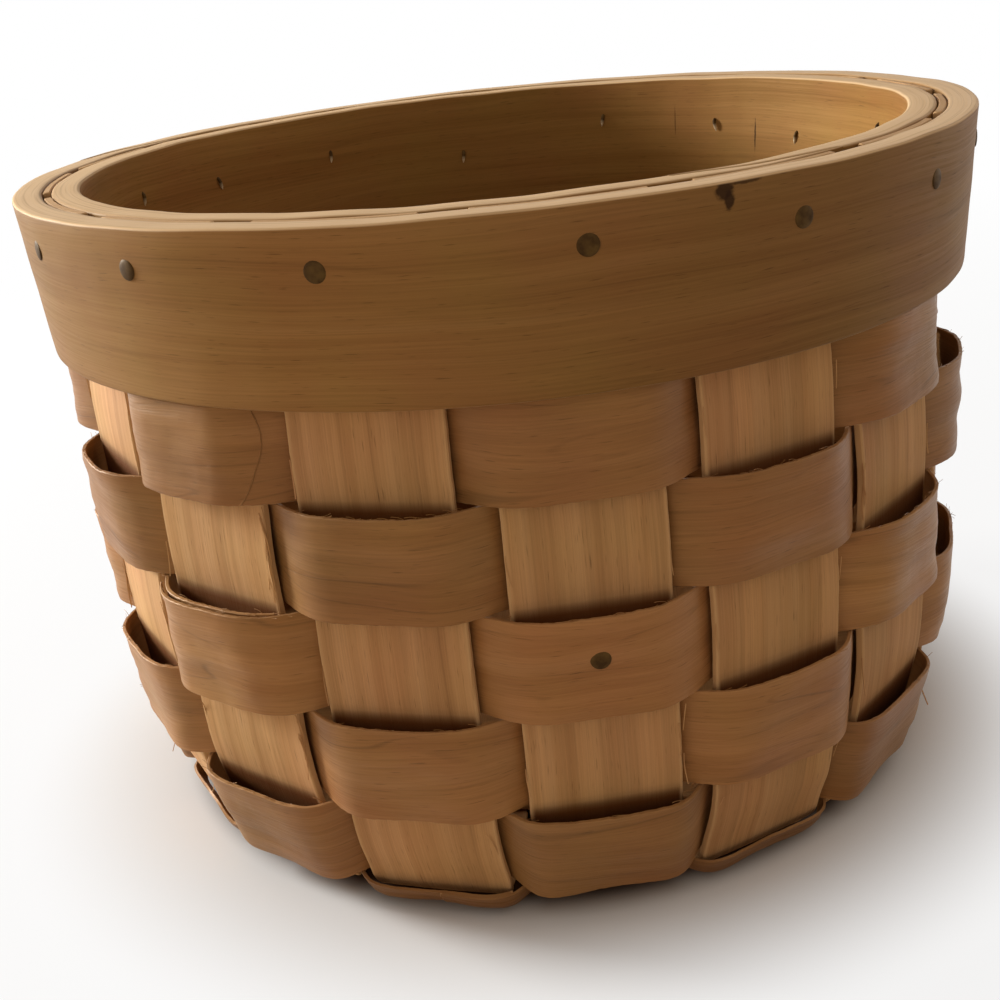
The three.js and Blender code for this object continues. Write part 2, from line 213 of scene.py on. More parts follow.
def make_floor():
    half = FLOOR_SIZE / 2
    corners = [(-half, -half, 0), (half, -half, 0), (half, half, 0), (-half, half, 0)]
    mesh = bpy.data.meshes.new("floor")
    mesh.from_pydata(corners, [], [(0, 1, 2, 3)])
    material, tree = blank_material("matt_white_card")
    seen = seen_directly(tree)
    place = add(tree, "ShaderNodeTexCoord")["Object"]
    away = add(tree, "ShaderNodeVectorMath", [place], operation="LENGTH")["Value"]
    # Under the basket the card is painted dark brown, a painted shadow, and it turns pale just outside the
    # foot
    outside_painted_shadow = add(tree, "ShaderNodeMapRange", [away, *FLOOR_SHADE, 0.0, 1.0], interpolation_type="SMOOTHSTEP")[0]
    shaded = {0: outside_painted_shadow, 6: linear(CARD_PAINTED_SHADOW), 7: linear(CARD_COLOUR)}
    seen_card = add(tree, "ShaderNodeMix", shaded, data_type="RGBA")[2]
    tone = add(tree, "ShaderNodeMix", {0: seen, 6: linear(CARD_BOUNCE), 7: seen_card}, data_type="RGBA")[2]
    card = add(tree, "ShaderNodeBsdfDiffuse", [tone])[0]
    glow = add(tree, "ShaderNodeEmission", [linear("#ffffff"), 1.0])[0]
    near = add(tree, "ShaderNodeMapRange", [away, *FLOOR_NEAR, 0.0, FLOOR_WHITE],
               interpolation_type="SMOOTHSTEP")[0]
    far = add(tree, "ShaderNodeMapRange", [away, FLOOR_NEAR[1], FLOOR_FAR, 0.0, 1 - FLOOR_WHITE])[0]
    whiteness = add(tree, "ShaderNodeMath", [near, far], operation="ADD")[0]
    share = add(tree, "ShaderNodeMath", [seen, whiteness], operation="MULTIPLY")[0]
    mixed = add(tree, "ShaderNodeMixShader", [share, card, glow])[0]
    add(tree, "ShaderNodeOutputMaterial", [mixed])
    mesh.materials.append(material)
    put("floor", mesh)


make_floor()
print("floor fades to white from", FLOOR_NEAR[1], "m to", FLOOR_FAR, "m")

# %% [markdown]
# ## The woods
# All the strips are peeled or sawn poplar. The eye knows it by long faint streaks of darker growth,
# by a fine silky fibre along the strip, by short dark pores, and by paler raw wood wherever a strip
# was cut. Each strip carries a UV map in metres, along and across itself, so that the grain follows
# the bends, and attributes that say where the cut edges are and how dark the strip is.
# One recipe serves for all four woods, and only the colours and the sizes of the grain differ.

# %% The figure of the grain
# Sizes are millimetres along and across the grain. Nearly all of a noise lies in its range
NOISE_RANGE = (0.3, 0.7)
DRIFT_SIZE = (80, 30)
STREAK_ROUGHNESS = 0.55
RINGS_PER_FIGURE = 8
RING_LINE = 0.13
RING_FADE = (0.36, 0.56, 1.0, 0.1)
FIBRE_ROUGHNESS = 0.65
SILK = (0.88, 1.1)
PORE_SIZE = (5, 0.3)
PORES = (0.66, 0.76, 0.0, 0.35)
STRIPE_SHIFT = 0.37


def stretched(tree, place, size):
    """Noise coordinates for a figure of that size in millimetres, along and across the grain."""
    scale = (1 / (size[0] * MM), 1 / (size[1] * MM), 1.0)
    return add(tree, "ShaderNodeVectorMath", [place, scale], operation="MULTIPLY")[0]


def figure(tree, place, size, detail, roughness=0.5):
    return add(tree, "ShaderNodeTexNoise", {
        "Vector": stretched(tree, place, size), "Scale": 1.0, "Detail": detail, "Roughness": roughness})[0]


def grain_figure(tree, uv, colours, grain):
    """The wood's colour with its figure, and the fibres and ring lines that make its relief."""
    # The grain wanders aside a little on its way along the strip
    slant = grain["slant"] * MM
    drift = figure(tree, uv, DRIFT_SIZE, 1.0)
    aside = add(tree, "ShaderNodeMath", [drift, 2 * slant, -slant], operation="MULTIPLY_ADD")[0]
    shift = add(tree, "ShaderNodeCombineXYZ", {"Y": aside})[0]
    place = add(tree, "ShaderNodeVectorMath", [uv, shift], operation="ADD")[0]

    # Broad streaks, and growth rings that the knife cut through as thin dark lines that come and go
    streaks = figure(tree, place, grain["streak"], 2.0, STREAK_ROUGHNESS)
    ramp = add(tree, "ShaderNodeValToRGB", [streaks])[0]
    stops = ramp.node.color_ramp.elements
    for stop, at, colour in zip(stops, NOISE_RANGE, ("dark", "pale")):
        stop.position = at
        stop.color = linear(colours[colour])
    stops.new(0.5).color = linear(colours["heart"])
    rings = figure(tree, place, grain["growth"], 1.0)
    ring_level = add(tree, "ShaderNodeMath", [rings, RINGS_PER_FIGURE], operation="MULTIPLY")[0]
    from_ring = add(tree, "ShaderNodeMath", [ring_level, 1.0], operation="PINGPONG")[0]
    ring_line = add(tree, "ShaderNodeMapRange", [from_ring, 0.0, RING_LINE, grain["lines"], 0.0],
                    interpolation_type="SMOOTHSTEP")[0]
    strength = add(tree, "ShaderNodeMapRange", [streaks, *RING_FADE])[0]
    line = add(tree, "ShaderNodeMath", [ring_line, strength], operation="MULTIPLY")[0]

    # Silky fibres, short dark pores, and flat stripes of one tone each, as the splitting knife left them
    fibres = figure(tree, place, grain["fibre"], 3.0, FIBRE_ROUGHNESS)
    silk = add(tree, "ShaderNodeMapRange", [fibres, *NOISE_RANGE, *SILK])[0]
    pores = add(tree, "ShaderNodeMapRange", [figure(tree, place, PORE_SIZE, 1.0), *PORES])[0]
    width, contrast = grain["stripe"]
    spot = add(tree, "ShaderNodeSeparateXYZ", [place])
    stripe_at = add(tree, "ShaderNodeMath", [spot["Y"], 1 / (width * MM)], operation="MULTIPLY")[0]
    shifted = add(tree, "ShaderNodeMath", [spot["X"], STRIPE_SHIFT, stripe_at], operation="MULTIPLY_ADD")[0]
    cells = add(tree, "ShaderNodeTexVoronoi", {"W": shifted, "Scale": 1.0}, voronoi_dimensions="1D")["Color"]
    stripes = add(tree, "ShaderNodeMapRange", [cells, 0.2, 0.8, 1 - contrast, 1 + contrast])[0]
    shade = add(tree, "ShaderNodeMath", [silk, stripes], operation="MULTIPLY")[0]
    for darker in (line, pores):
        shade = add(tree, "ShaderNodeMath", [shade, darker], operation="SUBTRACT")[0]
    grained = add(tree, "ShaderNodeMix", {0: 1.0, 6: ramp, 7: shade},
                  data_type="RGBA", blend_type="MULTIPLY")[2]
    return grained, fibres, line


print("pores of", PORE_SIZE, "mm are drawn coarser than real ones, so that they show")

# %% [markdown]
# Over the figure lie the stains of growth and use: patches of redder and greener brown, knots and
# splits. A low tone is painted shade, which turns the wood a deep red-brown in the creases above the
# weavers and on the hoop. The cut edges are bare wood with thin brown lines.

# %% The wood recipe
PATCH_SIZE = 24
PATCH_HUES = (0.494, 0.506)
# A low tone is painted shade: below 0.85 the wood turns towards a deep red-brown
PAINTED_SHADE_RANGE = (0.4, 0.85, 0.75, 0.0)
PAINTED_SHADE_COLOUR = "#64330f"
MARK_COLOUR = "#26140a"
MARK_FADE = (0.6, 1.1)
WAVER_SIZE = 1.3
WAVER = 0.9
LAYER_SIZE = (70, 0.5)
LAYERS = (0.52, 0.7, 0.0, 0.4)
BARE_FROM = 0.93
GLOSS_SPREAD = 0.08
BUMP_STRENGTH = 0.6
WOOD_IOR = 1.45
WOOD_SHEEN = "#ffd2a0"


def marked(tree, uv, colour, marks):
    """The colour with knots and splits on it. A mark has a place, a half size and a depth."""
    waver = add(tree, "ShaderNodeTexNoise", {
        "Vector": uv, "Scale": 1 / (WAVER_SIZE * MM), "Detail": 3.0})["Color"]
    for spot, half_size, depth in marks:
        centre = (spot[0] * MM, spot[1] * MM, 0)
        offset = add(tree, "ShaderNodeVectorMath", [uv, centre], operation="SUBTRACT")[0]
        measured = stretched(tree, offset, half_size)
        wavering = add(tree, "ShaderNodeVectorMath", [waver, (WAVER, WAVER, 0), measured],
                       operation="MULTIPLY_ADD")[0]
        centred = add(tree, "ShaderNodeVectorMath", [wavering, (WAVER / 2, WAVER / 2, 0)],
                      operation="SUBTRACT")[0]
        away = add(tree, "ShaderNodeVectorMath", [centred], operation="LENGTH")["Value"]
        stain = add(tree, "ShaderNodeMapRange", [away, *MARK_FADE, depth, 0.0],
                    interpolation_type="SMOOTHSTEP")[0]
        colour = add(tree, "ShaderNodeMix", {0: stain, 6: colour, 7: linear(MARK_COLOUR)},
                     data_type="RGBA")[2]
    return colour


def make_wood(name, colours, grain, roughness, shine, marks=()):
    """A wood with figures of (along, across) millimetres and stripes of a width and a contrast."""
    material, tree = blank_material(name)
    uv = add(tree, "ShaderNodeUVMap", uv_map="grain")[0]
    grained, fibres, line = grain_figure(tree, uv, colours, grain)
    body = add(tree, "ShaderNodeTexCoord")["Object"]
    patches = add(tree, "ShaderNodeTexNoise", {
        "Vector": body, "Scale": 1 / (PATCH_SIZE * MM), "Detail": 2.0})[0]
    hue = add(tree, "ShaderNodeMapRange", [patches, *NOISE_RANGE, *PATCH_HUES])[0]
    # This holds the wood's own tone together with painted light and shade
    tint = add(tree, "ShaderNodeAttribute", attribute_name="tint")["Fac"]
    toned = add(tree, "ShaderNodeHueSaturation", {"Hue": hue, "Value": tint, "Color": grained})[0]
    painted_shade = add(tree, "ShaderNodeMapRange", [tint, *PAINTED_SHADE_RANGE])[0]
    with_painted_shade = add(tree, "ShaderNodeMix", {0: painted_shade, 6: toned, 7: linear(PAINTED_SHADE_COLOUR)}, data_type="RGBA")[2]
    layers = add(tree, "ShaderNodeMapRange", [figure(tree, uv, LAYER_SIZE, 2.0), *LAYERS])[0]
    ends = {0: layers, 6: linear(colours["cut"]), 7: linear(colours["heart"])}
    raw = add(tree, "ShaderNodeMix", ends, data_type="RGBA")[2]
    edge = add(tree, "ShaderNodeAttribute", attribute_name="edge")["Fac"]
    bare = add(tree, "ShaderNodeMapRange", [edge, BARE_FROM, 1.0, 0.0, 1.0],
               interpolation_type="SMOOTHSTEP")[0]
    face = marked(tree, uv, with_painted_shade, marks)
    finished = add(tree, "ShaderNodeMix", {0: bare, 6: face, 7: raw}, data_type="RGBA")[2]
    gloss = add(tree, "ShaderNodeMapRange", [
        fibres, *NOISE_RANGE, roughness + GLOSS_SPREAD, roughness - GLOSS_SPREAD])[0]
    height = add(tree, "ShaderNodeMath", [line, -1.0, fibres], operation="MULTIPLY_ADD")[0]
    normal = add(tree, "ShaderNodeBump", {
        "Strength": BUMP_STRENGTH, "Distance": grain["relief"] * MM, "Height": height})[0]
    shader = add(tree, "ShaderNodeBsdfPrincipled", {
        "Base Color": finished, "Roughness": gloss, "IOR": WOOD_IOR, "Specular IOR Level": shine,
        "Specular Tint": linear(WOOD_SHEEN), "Normal": normal})[0]
    add(tree, "ShaderNodeOutputMaterial", [shader])
    return material


# Painted shade turns a crease a deep red-brown
print("dust turns a crease to", PAINTED_SHADE_COLOUR, "and marks are", MARK_COLOUR)

# %% The four woods
# Thin splint peeled from the round: smooth, reddish brown, with fine slanting growth lines
weaver_wood = make_wood(
    "peeled_poplar_splint",
    colours={"heart": "#926a43", "dark": "#88603a", "pale": "#9a724b", "cut": "#b59168"},
    grain={"streak": (80, 6), "growth": (70, 7), "fibre": (16, 0.4), "stripe": (5, 0.03),
           "slant": 7, "lines": 0.26, "relief": 0.12},
    roughness=0.46, shine=0.42)

# Thicker strip split along the grain: paler, with broad upright stripes and a rougher, fibrous face
stake_wood = make_wood(
    "split_poplar_strip",
    colours={"heart": "#bb946b", "dark": "#af875f", "pale": "#c59f77", "cut": "#c6a47c"},
    grain={"streak": (300, 4.5), "growth": (320, 9), "fibre": (40, 0.32), "stripe": (4, 0.1),
           "slant": 0.8, "lines": 0.16, "relief": 0.15},
    roughness=0.64, shine=0.15)

# Bent and sanded rim bands: darker and smoother, with a pale top where the edge was sanded bare. The
# outer one has a knot close under its top edge with a dark tail, and the inner one two short splits
BAND_GRAIN = {"streak": (160, 5), "growth": (220, 8), "fibre": (40, 0.45), "stripe": (7, 0.03),
              "slant": 2.5, "lines": 0.12, "relief": 0.05}
outer_band_wood = make_wood(
    "sanded_poplar_band",
    colours={"heart": "#8a6840", "dark": "#82603a", "pale": "#916f47", "cut": "#dcbf98"},
    grain=BAND_GRAIN, roughness=0.55, shine=0.15,
    marks=[((45.2, -1.7), (1.9, 1.6), 0.9), ((46, -3.4), (1.0, 1.7), 0.9), ((49, -0.8), (3.2, 0.5), 0.75)])
inner_band_wood = make_wood(
    "steamed_poplar_band",
    colours={"heart": "#8d6839", "dark": "#855f32", "pale": "#957040", "cut": "#dcbf98"},
    grain=BAND_GRAIN, roughness=0.6, shine=0.15,
    marks=[((242.4, 15.5), (0.2, 4.0), 0.6), ((215.8, 18.8), (0.3, 4.3), 0.85)])
print("woods:", weaver_wood.name, stake_wood.name, outer_band_wood.name, inner_band_wood.name)

# %% [markdown]
# ## The wall's outline
# Stakes and weavers share one outline: a tight fold at the foot, a wall that bellies out, and a
# straight run between the rim bands. Its points come from the frame's rim and from a few measured
# insets. A smooth curve through them is sampled once, and every other cell asks it for a place.

# %% Sizes of the basket
rim_low, rim_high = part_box("rim_band_outer")
RIM_RADIUS = (rim_high.x - rim_low.x) / 2
RIM_TOP = rim_high.z
BAND_BOTTOM = rim_low.z
BAND_HEIGHT = RIM_TOP - BAND_BOTTOM
BAND_TAPER = 2.3 * MM
OUTER_BAND = 5.2 * MM
INNER_BAND = 5.0 * MM
CLEARANCE = 0.3 * MM
STAKES = 16
STRIPS_PER_WAY = 4
STAKE_STEP = 2 * math.pi / STAKES
STAKE_THICKNESS = 1.6 * MM
STAKE_GAP = 7.5 * MM
FOOT_RADIUS = RIM_RADIUS - 16 * MM
FOOT_LEAN = math.radians(20)
FOLD_RADIUS = 7 * MM
MAT_RISE = (STAKE_THICKNESS + CLEARANCE) / 2
MAT_MIDDLE = STAKE_THICKNESS / 2 + MAT_RISE
SHOULDER = (RIM_RADIUS - 10.3 * MM, 28 * MM)
BELLY = (RIM_RADIUS - 8.8 * MM, 66 * MM)

waist_corner = RIM_RADIUS - OUTER_BAND - BAND_TAPER - CLEARANCE
stake_width = 2 * math.pi * waist_corner / STAKES - STAKE_GAP
waist_radius = math.sqrt(waist_corner ** 2 - (stake_width / 2) ** 2) - STAKE_THICKNESS / 2
lip_corner = RIM_RADIUS - OUTER_BAND - CLEARANCE
lip_radius = math.sqrt(lip_corner ** 2 - (stake_width / 2) ** 2) - STAKE_THICKNESS / 2
fold_centre = (FOOT_RADIUS - FOLD_RADIUS * math.cos(FOOT_LEAN), MAT_MIDDLE + FOLD_RADIUS)
print("rim", round(2 * RIM_RADIUS / MM, 1), "mm across, stakes", round(stake_width / MM, 1), "mm wide")

# %% The outline of the wall
FOLD_STEPS = 30
WALL_STEPS = 60
RIM_STEPS = 30


def smooth_curve(points, steps):
    """A curve through all the points, each tangent parallel to the chord of its two neighbours."""
    padded = np.array([points[0], *points, points[-1]])
    share = np.linspace(0, 1, steps, endpoint=False)[:, None]
    pieces = []
    for before, start, end, after in zip(padded, padded[1:], padded[2:], padded[3:]):
        leaving, arriving = (end - before) / 2, (after - start) / 2
        cubic = 2 * start - 2 * end + leaving + arriving
        square = -3 * start + 3 * end - 2 * leaving - arriving
        pieces.append(((cubic * share + square) * share + leaving) * share + start)
    return np.vstack([*pieces, padded[-1:]])


def lengths_along(points):
    return np.concatenate([[0], np.cumsum(np.linalg.norm(np.diff(points, axis=0), axis=1))])


def wall_outline():
    turn = np.linspace(-math.pi / 2, -FOOT_LEAN, FOLD_STEPS)
    fold = np.column_stack([
        fold_centre[0] + FOLD_RADIUS * np.cos(turn), fold_centre[1] + FOLD_RADIUS * np.sin(turn)])
    wall = smooth_curve([fold[-1], SHOULDER, BELLY, (waist_radius, BAND_BOTTOM)], WALL_STEPS)
    rim = np.linspace(wall[-1], (lip_radius, RIM_TOP), RIM_STEPS)
    points = np.vstack([fold, wall[1:], rim[1:]])
    lengths = lengths_along(points)
    return points, lengths, lengths[len(fold) - 1], lengths[len(fold) + len(wall) - 2]


outline, outline_at, FOOT_AT, WAIST_AT = wall_outline()
LIP_AT = outline_at[-1]


def wall_place(distance):
    """Radius and height of the outline at a distance along it from the base."""
    return np.interp(distance, outline_at, outline[:, 0]), np.interp(distance, outline_at, outline[:, 1])


def smoothstep(low, high, value):
    share = np.clip((value - low) / (high - low), 0, 1)
    return share * share * (3 - 2 * share)


print("wall length", round(LIP_AT / MM, 1), "mm, of which", round(FOOT_AT / MM, 1), "mm in the fold")

# %% [markdown]
# ## Turning sheets into pieces
# A splint is a thin sheet with a little thickness and soft edges. So each strip is first laid out as a
# sheet of points, and Blender's Solidify and Bevel modifiers give it its body. The result is then made
# a plain mesh, because the other tools read only plain meshes.

# %% Helpers that make a mesh and settle it
SHARP_ANGLE = math.radians(38)
BEVEL_ANGLE = math.radians(50)
FEATHERED = 0.4


def skin(name, points, along, across, edge, tint, material, closed=False):
    """A mesh over a grid of points. The UV map holds the metres along and across the strip."""
    rows, columns = points.shape[:2]
    spans = columns if closed else columns - 1
    row, column = np.meshgrid(np.arange(rows - 1), np.arange(spans), indexing="ij")
    step = np.array([(0, 0), (0, 1), (1, 1), (1, 0)])
    at_row = row[..., None] + step[:, 0]
    at_column = column[..., None] + step[:, 1]
    faces = (at_row * columns + at_column % columns).reshape(-1, 4)
    uv = np.stack([along[at_row, at_column % columns], across[at_column]], axis=-1)
    first = list(range(columns))
    caps = [first[::-1], [(rows - 1) * columns + k for k in first]] if closed else []
    mesh = bpy.data.meshes.new(name)
    mesh.from_pydata(points.reshape(-1, 3).tolist(), [], [*faces.tolist(), *caps])
    corners = np.zeros((len(mesh.loops), 2))
    corners[:faces.size] = uv.reshape(-1, 2)
    mesh.uv_layers.new(name="grain").data.foreach_set("uv", corners.ravel())
    for label, values in (("edge", edge), ("tint", tint)):
        layer = mesh.attributes.new(label, "FLOAT", "POINT")
        layer.data.foreach_set("value", np.broadcast_to(values, (rows, columns)).ravel())
    mesh.materials.append(material)
    return put(name, mesh)


def settle(piece):
    """Makes the evaluated piece its own plain mesh, without modifiers."""
    depsgraph = bpy.context.evaluated_depsgraph_get()
    mesh = bpy.data.meshes.new_from_object(piece.evaluated_get(depsgraph))
    piece.modifiers.clear()
    piece.data = mesh
    mesh.name = piece.name
    mesh.shade_smooth()
    mesh.set_sharp_from_angle(angle=SHARP_ANGLE)
    return piece


def thicken(piece, thickness, softness):
    """Gives a sheet its body, thinner where a feathered end was shaved."""
    body = piece.modifiers.new("thickness", "SOLIDIFY")
    body.thickness = thickness
    body.offset = 0
    body.use_even_offset = True
    if "feather" in piece.vertex_groups:
        body.vertex_group = "feather"
        body.invert_vertex_group = True
        body.thickness_vertex_group = FEATHERED
    edges = piece.modifiers.new("soft_edges", "BEVEL")
    edges.width = softness
    edges.segments = 1
    edges.limit_method = "ANGLE"
    edges.angle_limit = BEVEL_ANGLE
    return piece


def hand_over(piece, slot, *nodes):
    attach(piece, "root")
    if nodes:
        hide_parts(*nodes)
    print(piece.name, len(piece.data.polygons), "faces, stands for", len(nodes), "nodes")


print("edges sharper than", round(math.degrees(SHARP_ANGLE)), "degrees stay sharp")

# %% [markdown]
# ## Stakes
# The stakes are the ends of eight long strips. In the base the strips pass over and under each other,
# then each swings round to face outwards, folds up and stands in the wall. The path is worked out
# point by point, because a path that lies flat, turns and folds has no ready-made curve. The weavers
# press a stake in where they cross it and let it belly out where they pass behind. Between the rim
# bands it is bent round with them.

# %% Path of a stake strip
SWING_RADIUS = FOOT_RADIUS - 3 * MM
FOLD_SWEEP = 6.8 * MM
BASE_STRIP_GAP = 3 * MM
STAKE_END_DROP = 0.15 * MM
UPRIGHT_STEPS = 110
BEND_STEPS = 16
FLAT_STEPS = 12
MAT_STEPS = 90
NOT_IN_WALL = -1.0
outer_strip = (STRIPS_PER_WAY - 1) / 2
strip_pitch = (SWING_RADIUS - FOLD_SWEEP) * math.sin(outer_strip * STAKE_STEP) / outer_strip
base_strip_width = strip_pitch - BASE_STRIP_GAP


def mat_level(strip, crossing):
    return MAT_MIDDLE + np.where((strip + crossing) % 2 == 0, MAT_RISE, -MAT_RISE)


def upright_path(offset, level):
    """Points, sideways directions, widths and distances up the wall of one stake, from its top end down."""
    angle = offset * STAKE_STEP
    sweep = SWING_RADIUS - offset * strip_pitch / math.sin(angle)
    arc_radius = sweep / math.tan(angle / 2)
    arc_length = arc_radius * angle
    distance = np.linspace(LIP_AT - STAKE_END_DROP, FOOT_AT, UPRIGHT_STEPS)
    wall_radius, wall_height = wall_place(distance)
    fold = math.pi / 2 - FOOT_LEAN
    rise = np.linspace(fold, 0, BEND_STEPS)[1:]
    sunk = (level - MAT_MIDDLE) * (1 - rise / fold) ** 2
    flat = np.linspace(fold_centre[0], SWING_RADIUS - arc_length, FLAT_STEPS)[1:]
    radius = np.concatenate([wall_radius, fold_centre[0] + FOLD_RADIUS * np.sin(rise), flat])
    height = np.concatenate([
        wall_height, fold_centre[1] - FOLD_RADIUS * np.cos(rise) + sunk, np.full(len(flat), level)])
    kept = np.concatenate([np.ones(len(distance)), np.sin(rise), np.zeros(len(flat))])
    width = base_strip_width + (stake_width - base_strip_width) * smoothstep(0, 1, kept)
    left = angle * np.clip(1 - (SWING_RADIUS - radius) / arc_length, 0, 1)
    out = np.maximum(radius, SWING_RADIUS)
    x = out * math.sin(angle) - arc_radius * (np.cos(left) - math.cos(angle))
    y = -out * math.cos(angle) + arc_radius * (math.sin(angle) - np.sin(left))
    points = np.column_stack([x, y, height])
    side = np.column_stack([np.cos(left), np.sin(left), np.zeros(len(left))])
    reach = np.concatenate([distance, np.full(len(radius) - len(distance), NOT_IN_WALL)])
    return points, side, width, reach


def mat_path(strip, start, end):
    """The stretch across the base, over one strip and under the next."""
    y = np.linspace(start, end, MAT_STEPS)[1:-1]
    place = np.clip(y / strip_pitch + outer_strip, 0, STRIPS_PER_WAY - 1)
    lower = np.minimum(np.floor(place), STRIPS_PER_WAY - 2)
    edge = (base_strip_width / 2 + CLEARANCE) / strip_pitch
    share = smoothstep(edge, 1 - edge, place - lower)
    height = mat_level(strip, lower) + (mat_level(strip, lower + 1) - mat_level(strip, lower)) * share
    x = np.full(len(y), (strip - outer_strip) * strip_pitch)
    side = np.tile([1.0, 0, 0], (len(y), 1))
    width = np.full(len(y), base_strip_width)
    return np.column_stack([x, y, height]), side, width, np.full(len(y), NOT_IN_WALL)


def strip_path(strip):
    offset = strip - outer_strip
    front = upright_path(offset, mat_level(strip, 0))
    back = [part[::-1].copy() for part in upright_path(offset, mat_level(strip, STRIPS_PER_WAY - 1))]
    back[0][:, 1] *= -1
    back[1][:, 1] *= -1
    middle = mat_path(strip, front[0][-1, 1], back[0][0, 1])
    return [np.concatenate(parts) for parts in zip(front, middle, back)]


print("base strips", round(base_strip_width / MM, 1), "mm wide,", round(strip_pitch / MM, 1), "mm apart")

# %% [markdown]
# The rows of weavers set where a stake bends, so their places along the wall are worked out here.
# Full rows are counted up from the foot, and the top row takes what is left under the rim.

# %% Rows of the weave
WEAVER_WIDTH = 20.1 * MM
ROW_GAP = 0.4 * MM
FIRST_ROW_RISE = 0.7 * MM
HOOP_WIDTH = 2.8 * MM
row_count = sum(name.startswith("weaver_row_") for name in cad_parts)
row_pitch = WEAVER_WIDTH + ROW_GAP
rows = []
for level in range(row_count):
    low = FOOT_AT + FIRST_ROW_RISE + level * row_pitch
    high = low + WEAVER_WIDTH if level < row_count - 1 else WAIST_AT - ROW_GAP
    rows.insert(0, (low, high))
rows.append((rows[-1][0] - ROW_GAP - HOOP_WIDTH, rows[-1][0] - ROW_GAP))
bottom_row_middle = rows[row_count - 1][0] + WEAVER_WIDTH / 2
print(row_count, "rows and a hoop, the top row", round((rows[0][1] - rows[0][0]) / MM, 1), "mm wide")

# %% Bend the strips
# A wander has a height and a length in metres
STAKE_SWAY = 0.35 * MM
STAKE_CUP = 0.25 * MM
CUP_SHARE = 0.4
RIM_BEND = 0.55 * MM
RIM_BEND_REACH = 5 * MM
EDGE_WANDER = (0.14 * MM, 14 * MM)
EDGE_FUZZ = (0.07 * MM, 1.6 * MM)
FACE_WAVE = (0.12 * MM, 9 * MM)
FACE_WAVE_DRIFT = 2.1
STAKE_SOFTNESS = 0.25 * MM
STRIP_COLUMNS = 17
STRIP_TONE = 0.06
STRIP_TONE_STEP = 3.7
STRIP_TONE_SEED = 2.2
# Painted shade in the creases above the weavers: how much darker, and how far below and above the weaver's
# top edge
CREASE_PAINTED_SHADE = 0.62
CREASE_SINK = 1.5 * MM
CREASE_REACH = 2.3 * MM


def wander(place, size, seed):
    """Smooth noise between -1 and 1, with a feature size in metres."""
    return np.array([noise.noise(Vector((p / size, seed, 0.5))) for p in place])


def crease_shade(reach, stake, front):
    """Painted shade in the crease above each weaver that passes over the stake, from 0 to 1."""
    crease = np.zeros(len(reach))
    for row, (low, high) in enumerate(rows[:row_count]):
        covered = (row + stake) % 2 == np.where(front > 0, 0, 1)
        above = smoothstep(high + CREASE_REACH, high - CREASE_SINK, reach)
        crease += covered * above * smoothstep(low, low + CREASE_SINK, reach)
    return crease


def make_strip(strip, turned):
    points, side, width, reach = strip_path(strip)
    length = lengths_along(points)
    face = np.cross(np.gradient(points, axis=0), side)
    face /= np.linalg.norm(face, axis=1)[:, None]
    seed = 10 * strip + (5 if turned else 0)
    stake = strip + (STRIPS_PER_WAY if turned else 0)
    # Out where the bottom weaver passes behind this stake, in where it passes over, and so on upwards
    front = np.where(np.arange(len(length)) < len(length) / 2, 1, -1)
    over = -1 if (stake + row_count) % 2 else 1
    sway = STAKE_SWAY * over * front * np.cos(math.pi * (reach - bottom_row_middle) / row_pitch)
    sway *= smoothstep(FOOT_AT, FOOT_AT + row_pitch / 2, reach)
    sway *= smoothstep(WAIST_AT, WAIST_AT - row_pitch / 2, reach)
    across = np.linspace(-1, 1, STRIP_COLUMNS)
    wall_radius = wall_place(reach)[0]
    clamped = smoothstep(WAIST_AT - RIM_BEND_REACH, WAIST_AT + RIM_BEND_REACH, reach)
    edges = {
        sign: width / 2 + EDGE_WANDER[0] * wander(length, EDGE_WANDER[1], seed + sign)
        + EDGE_FUZZ[0] * wander(length, EDGE_FUZZ[1], seed + 3 * sign)
        for sign in (-1, 1)
    }
    grid = np.zeros((len(length), STRIP_COLUMNS, 3))
    for k, place in enumerate(across):
        reach_out = place * (edges[-1] if place < 0 else edges[1])
        wave_seed = seed + 7 + FACE_WAVE_DRIFT * k / (STRIP_COLUMNS - 1)
        wave = FACE_WAVE[0] * wander(length, FACE_WAVE[1], wave_seed)
        lift = sway - STAKE_CUP * (place ** 2 - CUP_SHARE) + wave
        rounded = np.sqrt((wall_radius + RIM_BEND) ** 2 - reach_out ** 2) - wall_radius
        lift = lift + (rounded - lift) * clamped
        grid[:, k] = points + side * reach_out[:, None] + face * lift[:, None]
    if turned:
        grid = grid @ np.array([(0, 1, 0), (-1, 0, 0), (0, 0, 1)])
    edge = np.tile(np.abs(across), (len(length), 1))
    edge[[0, -1]] = 1
    along = np.tile((length + seed)[:, None], (1, STRIP_COLUMNS))
    tint = 1.0 + STRIP_TONE * wander(np.array([seed]), STRIP_TONE_STEP, STRIP_TONE_SEED)
    # The stake is painted darker just above each weaver that crosses it, a painted shade of the gap there
    tint = tint - CREASE_PAINTED_SHADE * crease_shade(reach, stake, front)[:, None]
    way = "left_right" if turned else "front_back"
    name = f"stake_strip_{way}_{strip + 1}"
    piece = skin(name + "_wood", grid, along, across * stake_width / 2, edge, tint, stake_wood)
    hand_over(settle(thicken(piece, STAKE_THICKNESS, STAKE_SOFTNESS)), "stake_wood", name)


for strip in range(STRIPS_PER_WAY):
    make_strip(strip, turned=False)
    make_strip(strip, turned=True)

# %% [markdown]
# ## Weavers
# A weaver follows a rule: it swings out over one stake and in behind the next. That makes it a good
# piece for Geometry Nodes. A flat grid is bent round the basket by a formula. The swing is a cosine
# that is squared up, so that the splint clears the corners of the stakes and lies flat across them.
# The loops are tight at the front and back and looser at the sides. Smooth noise on a ring makes each
# a little different, and it still meets itself where the ends lap.

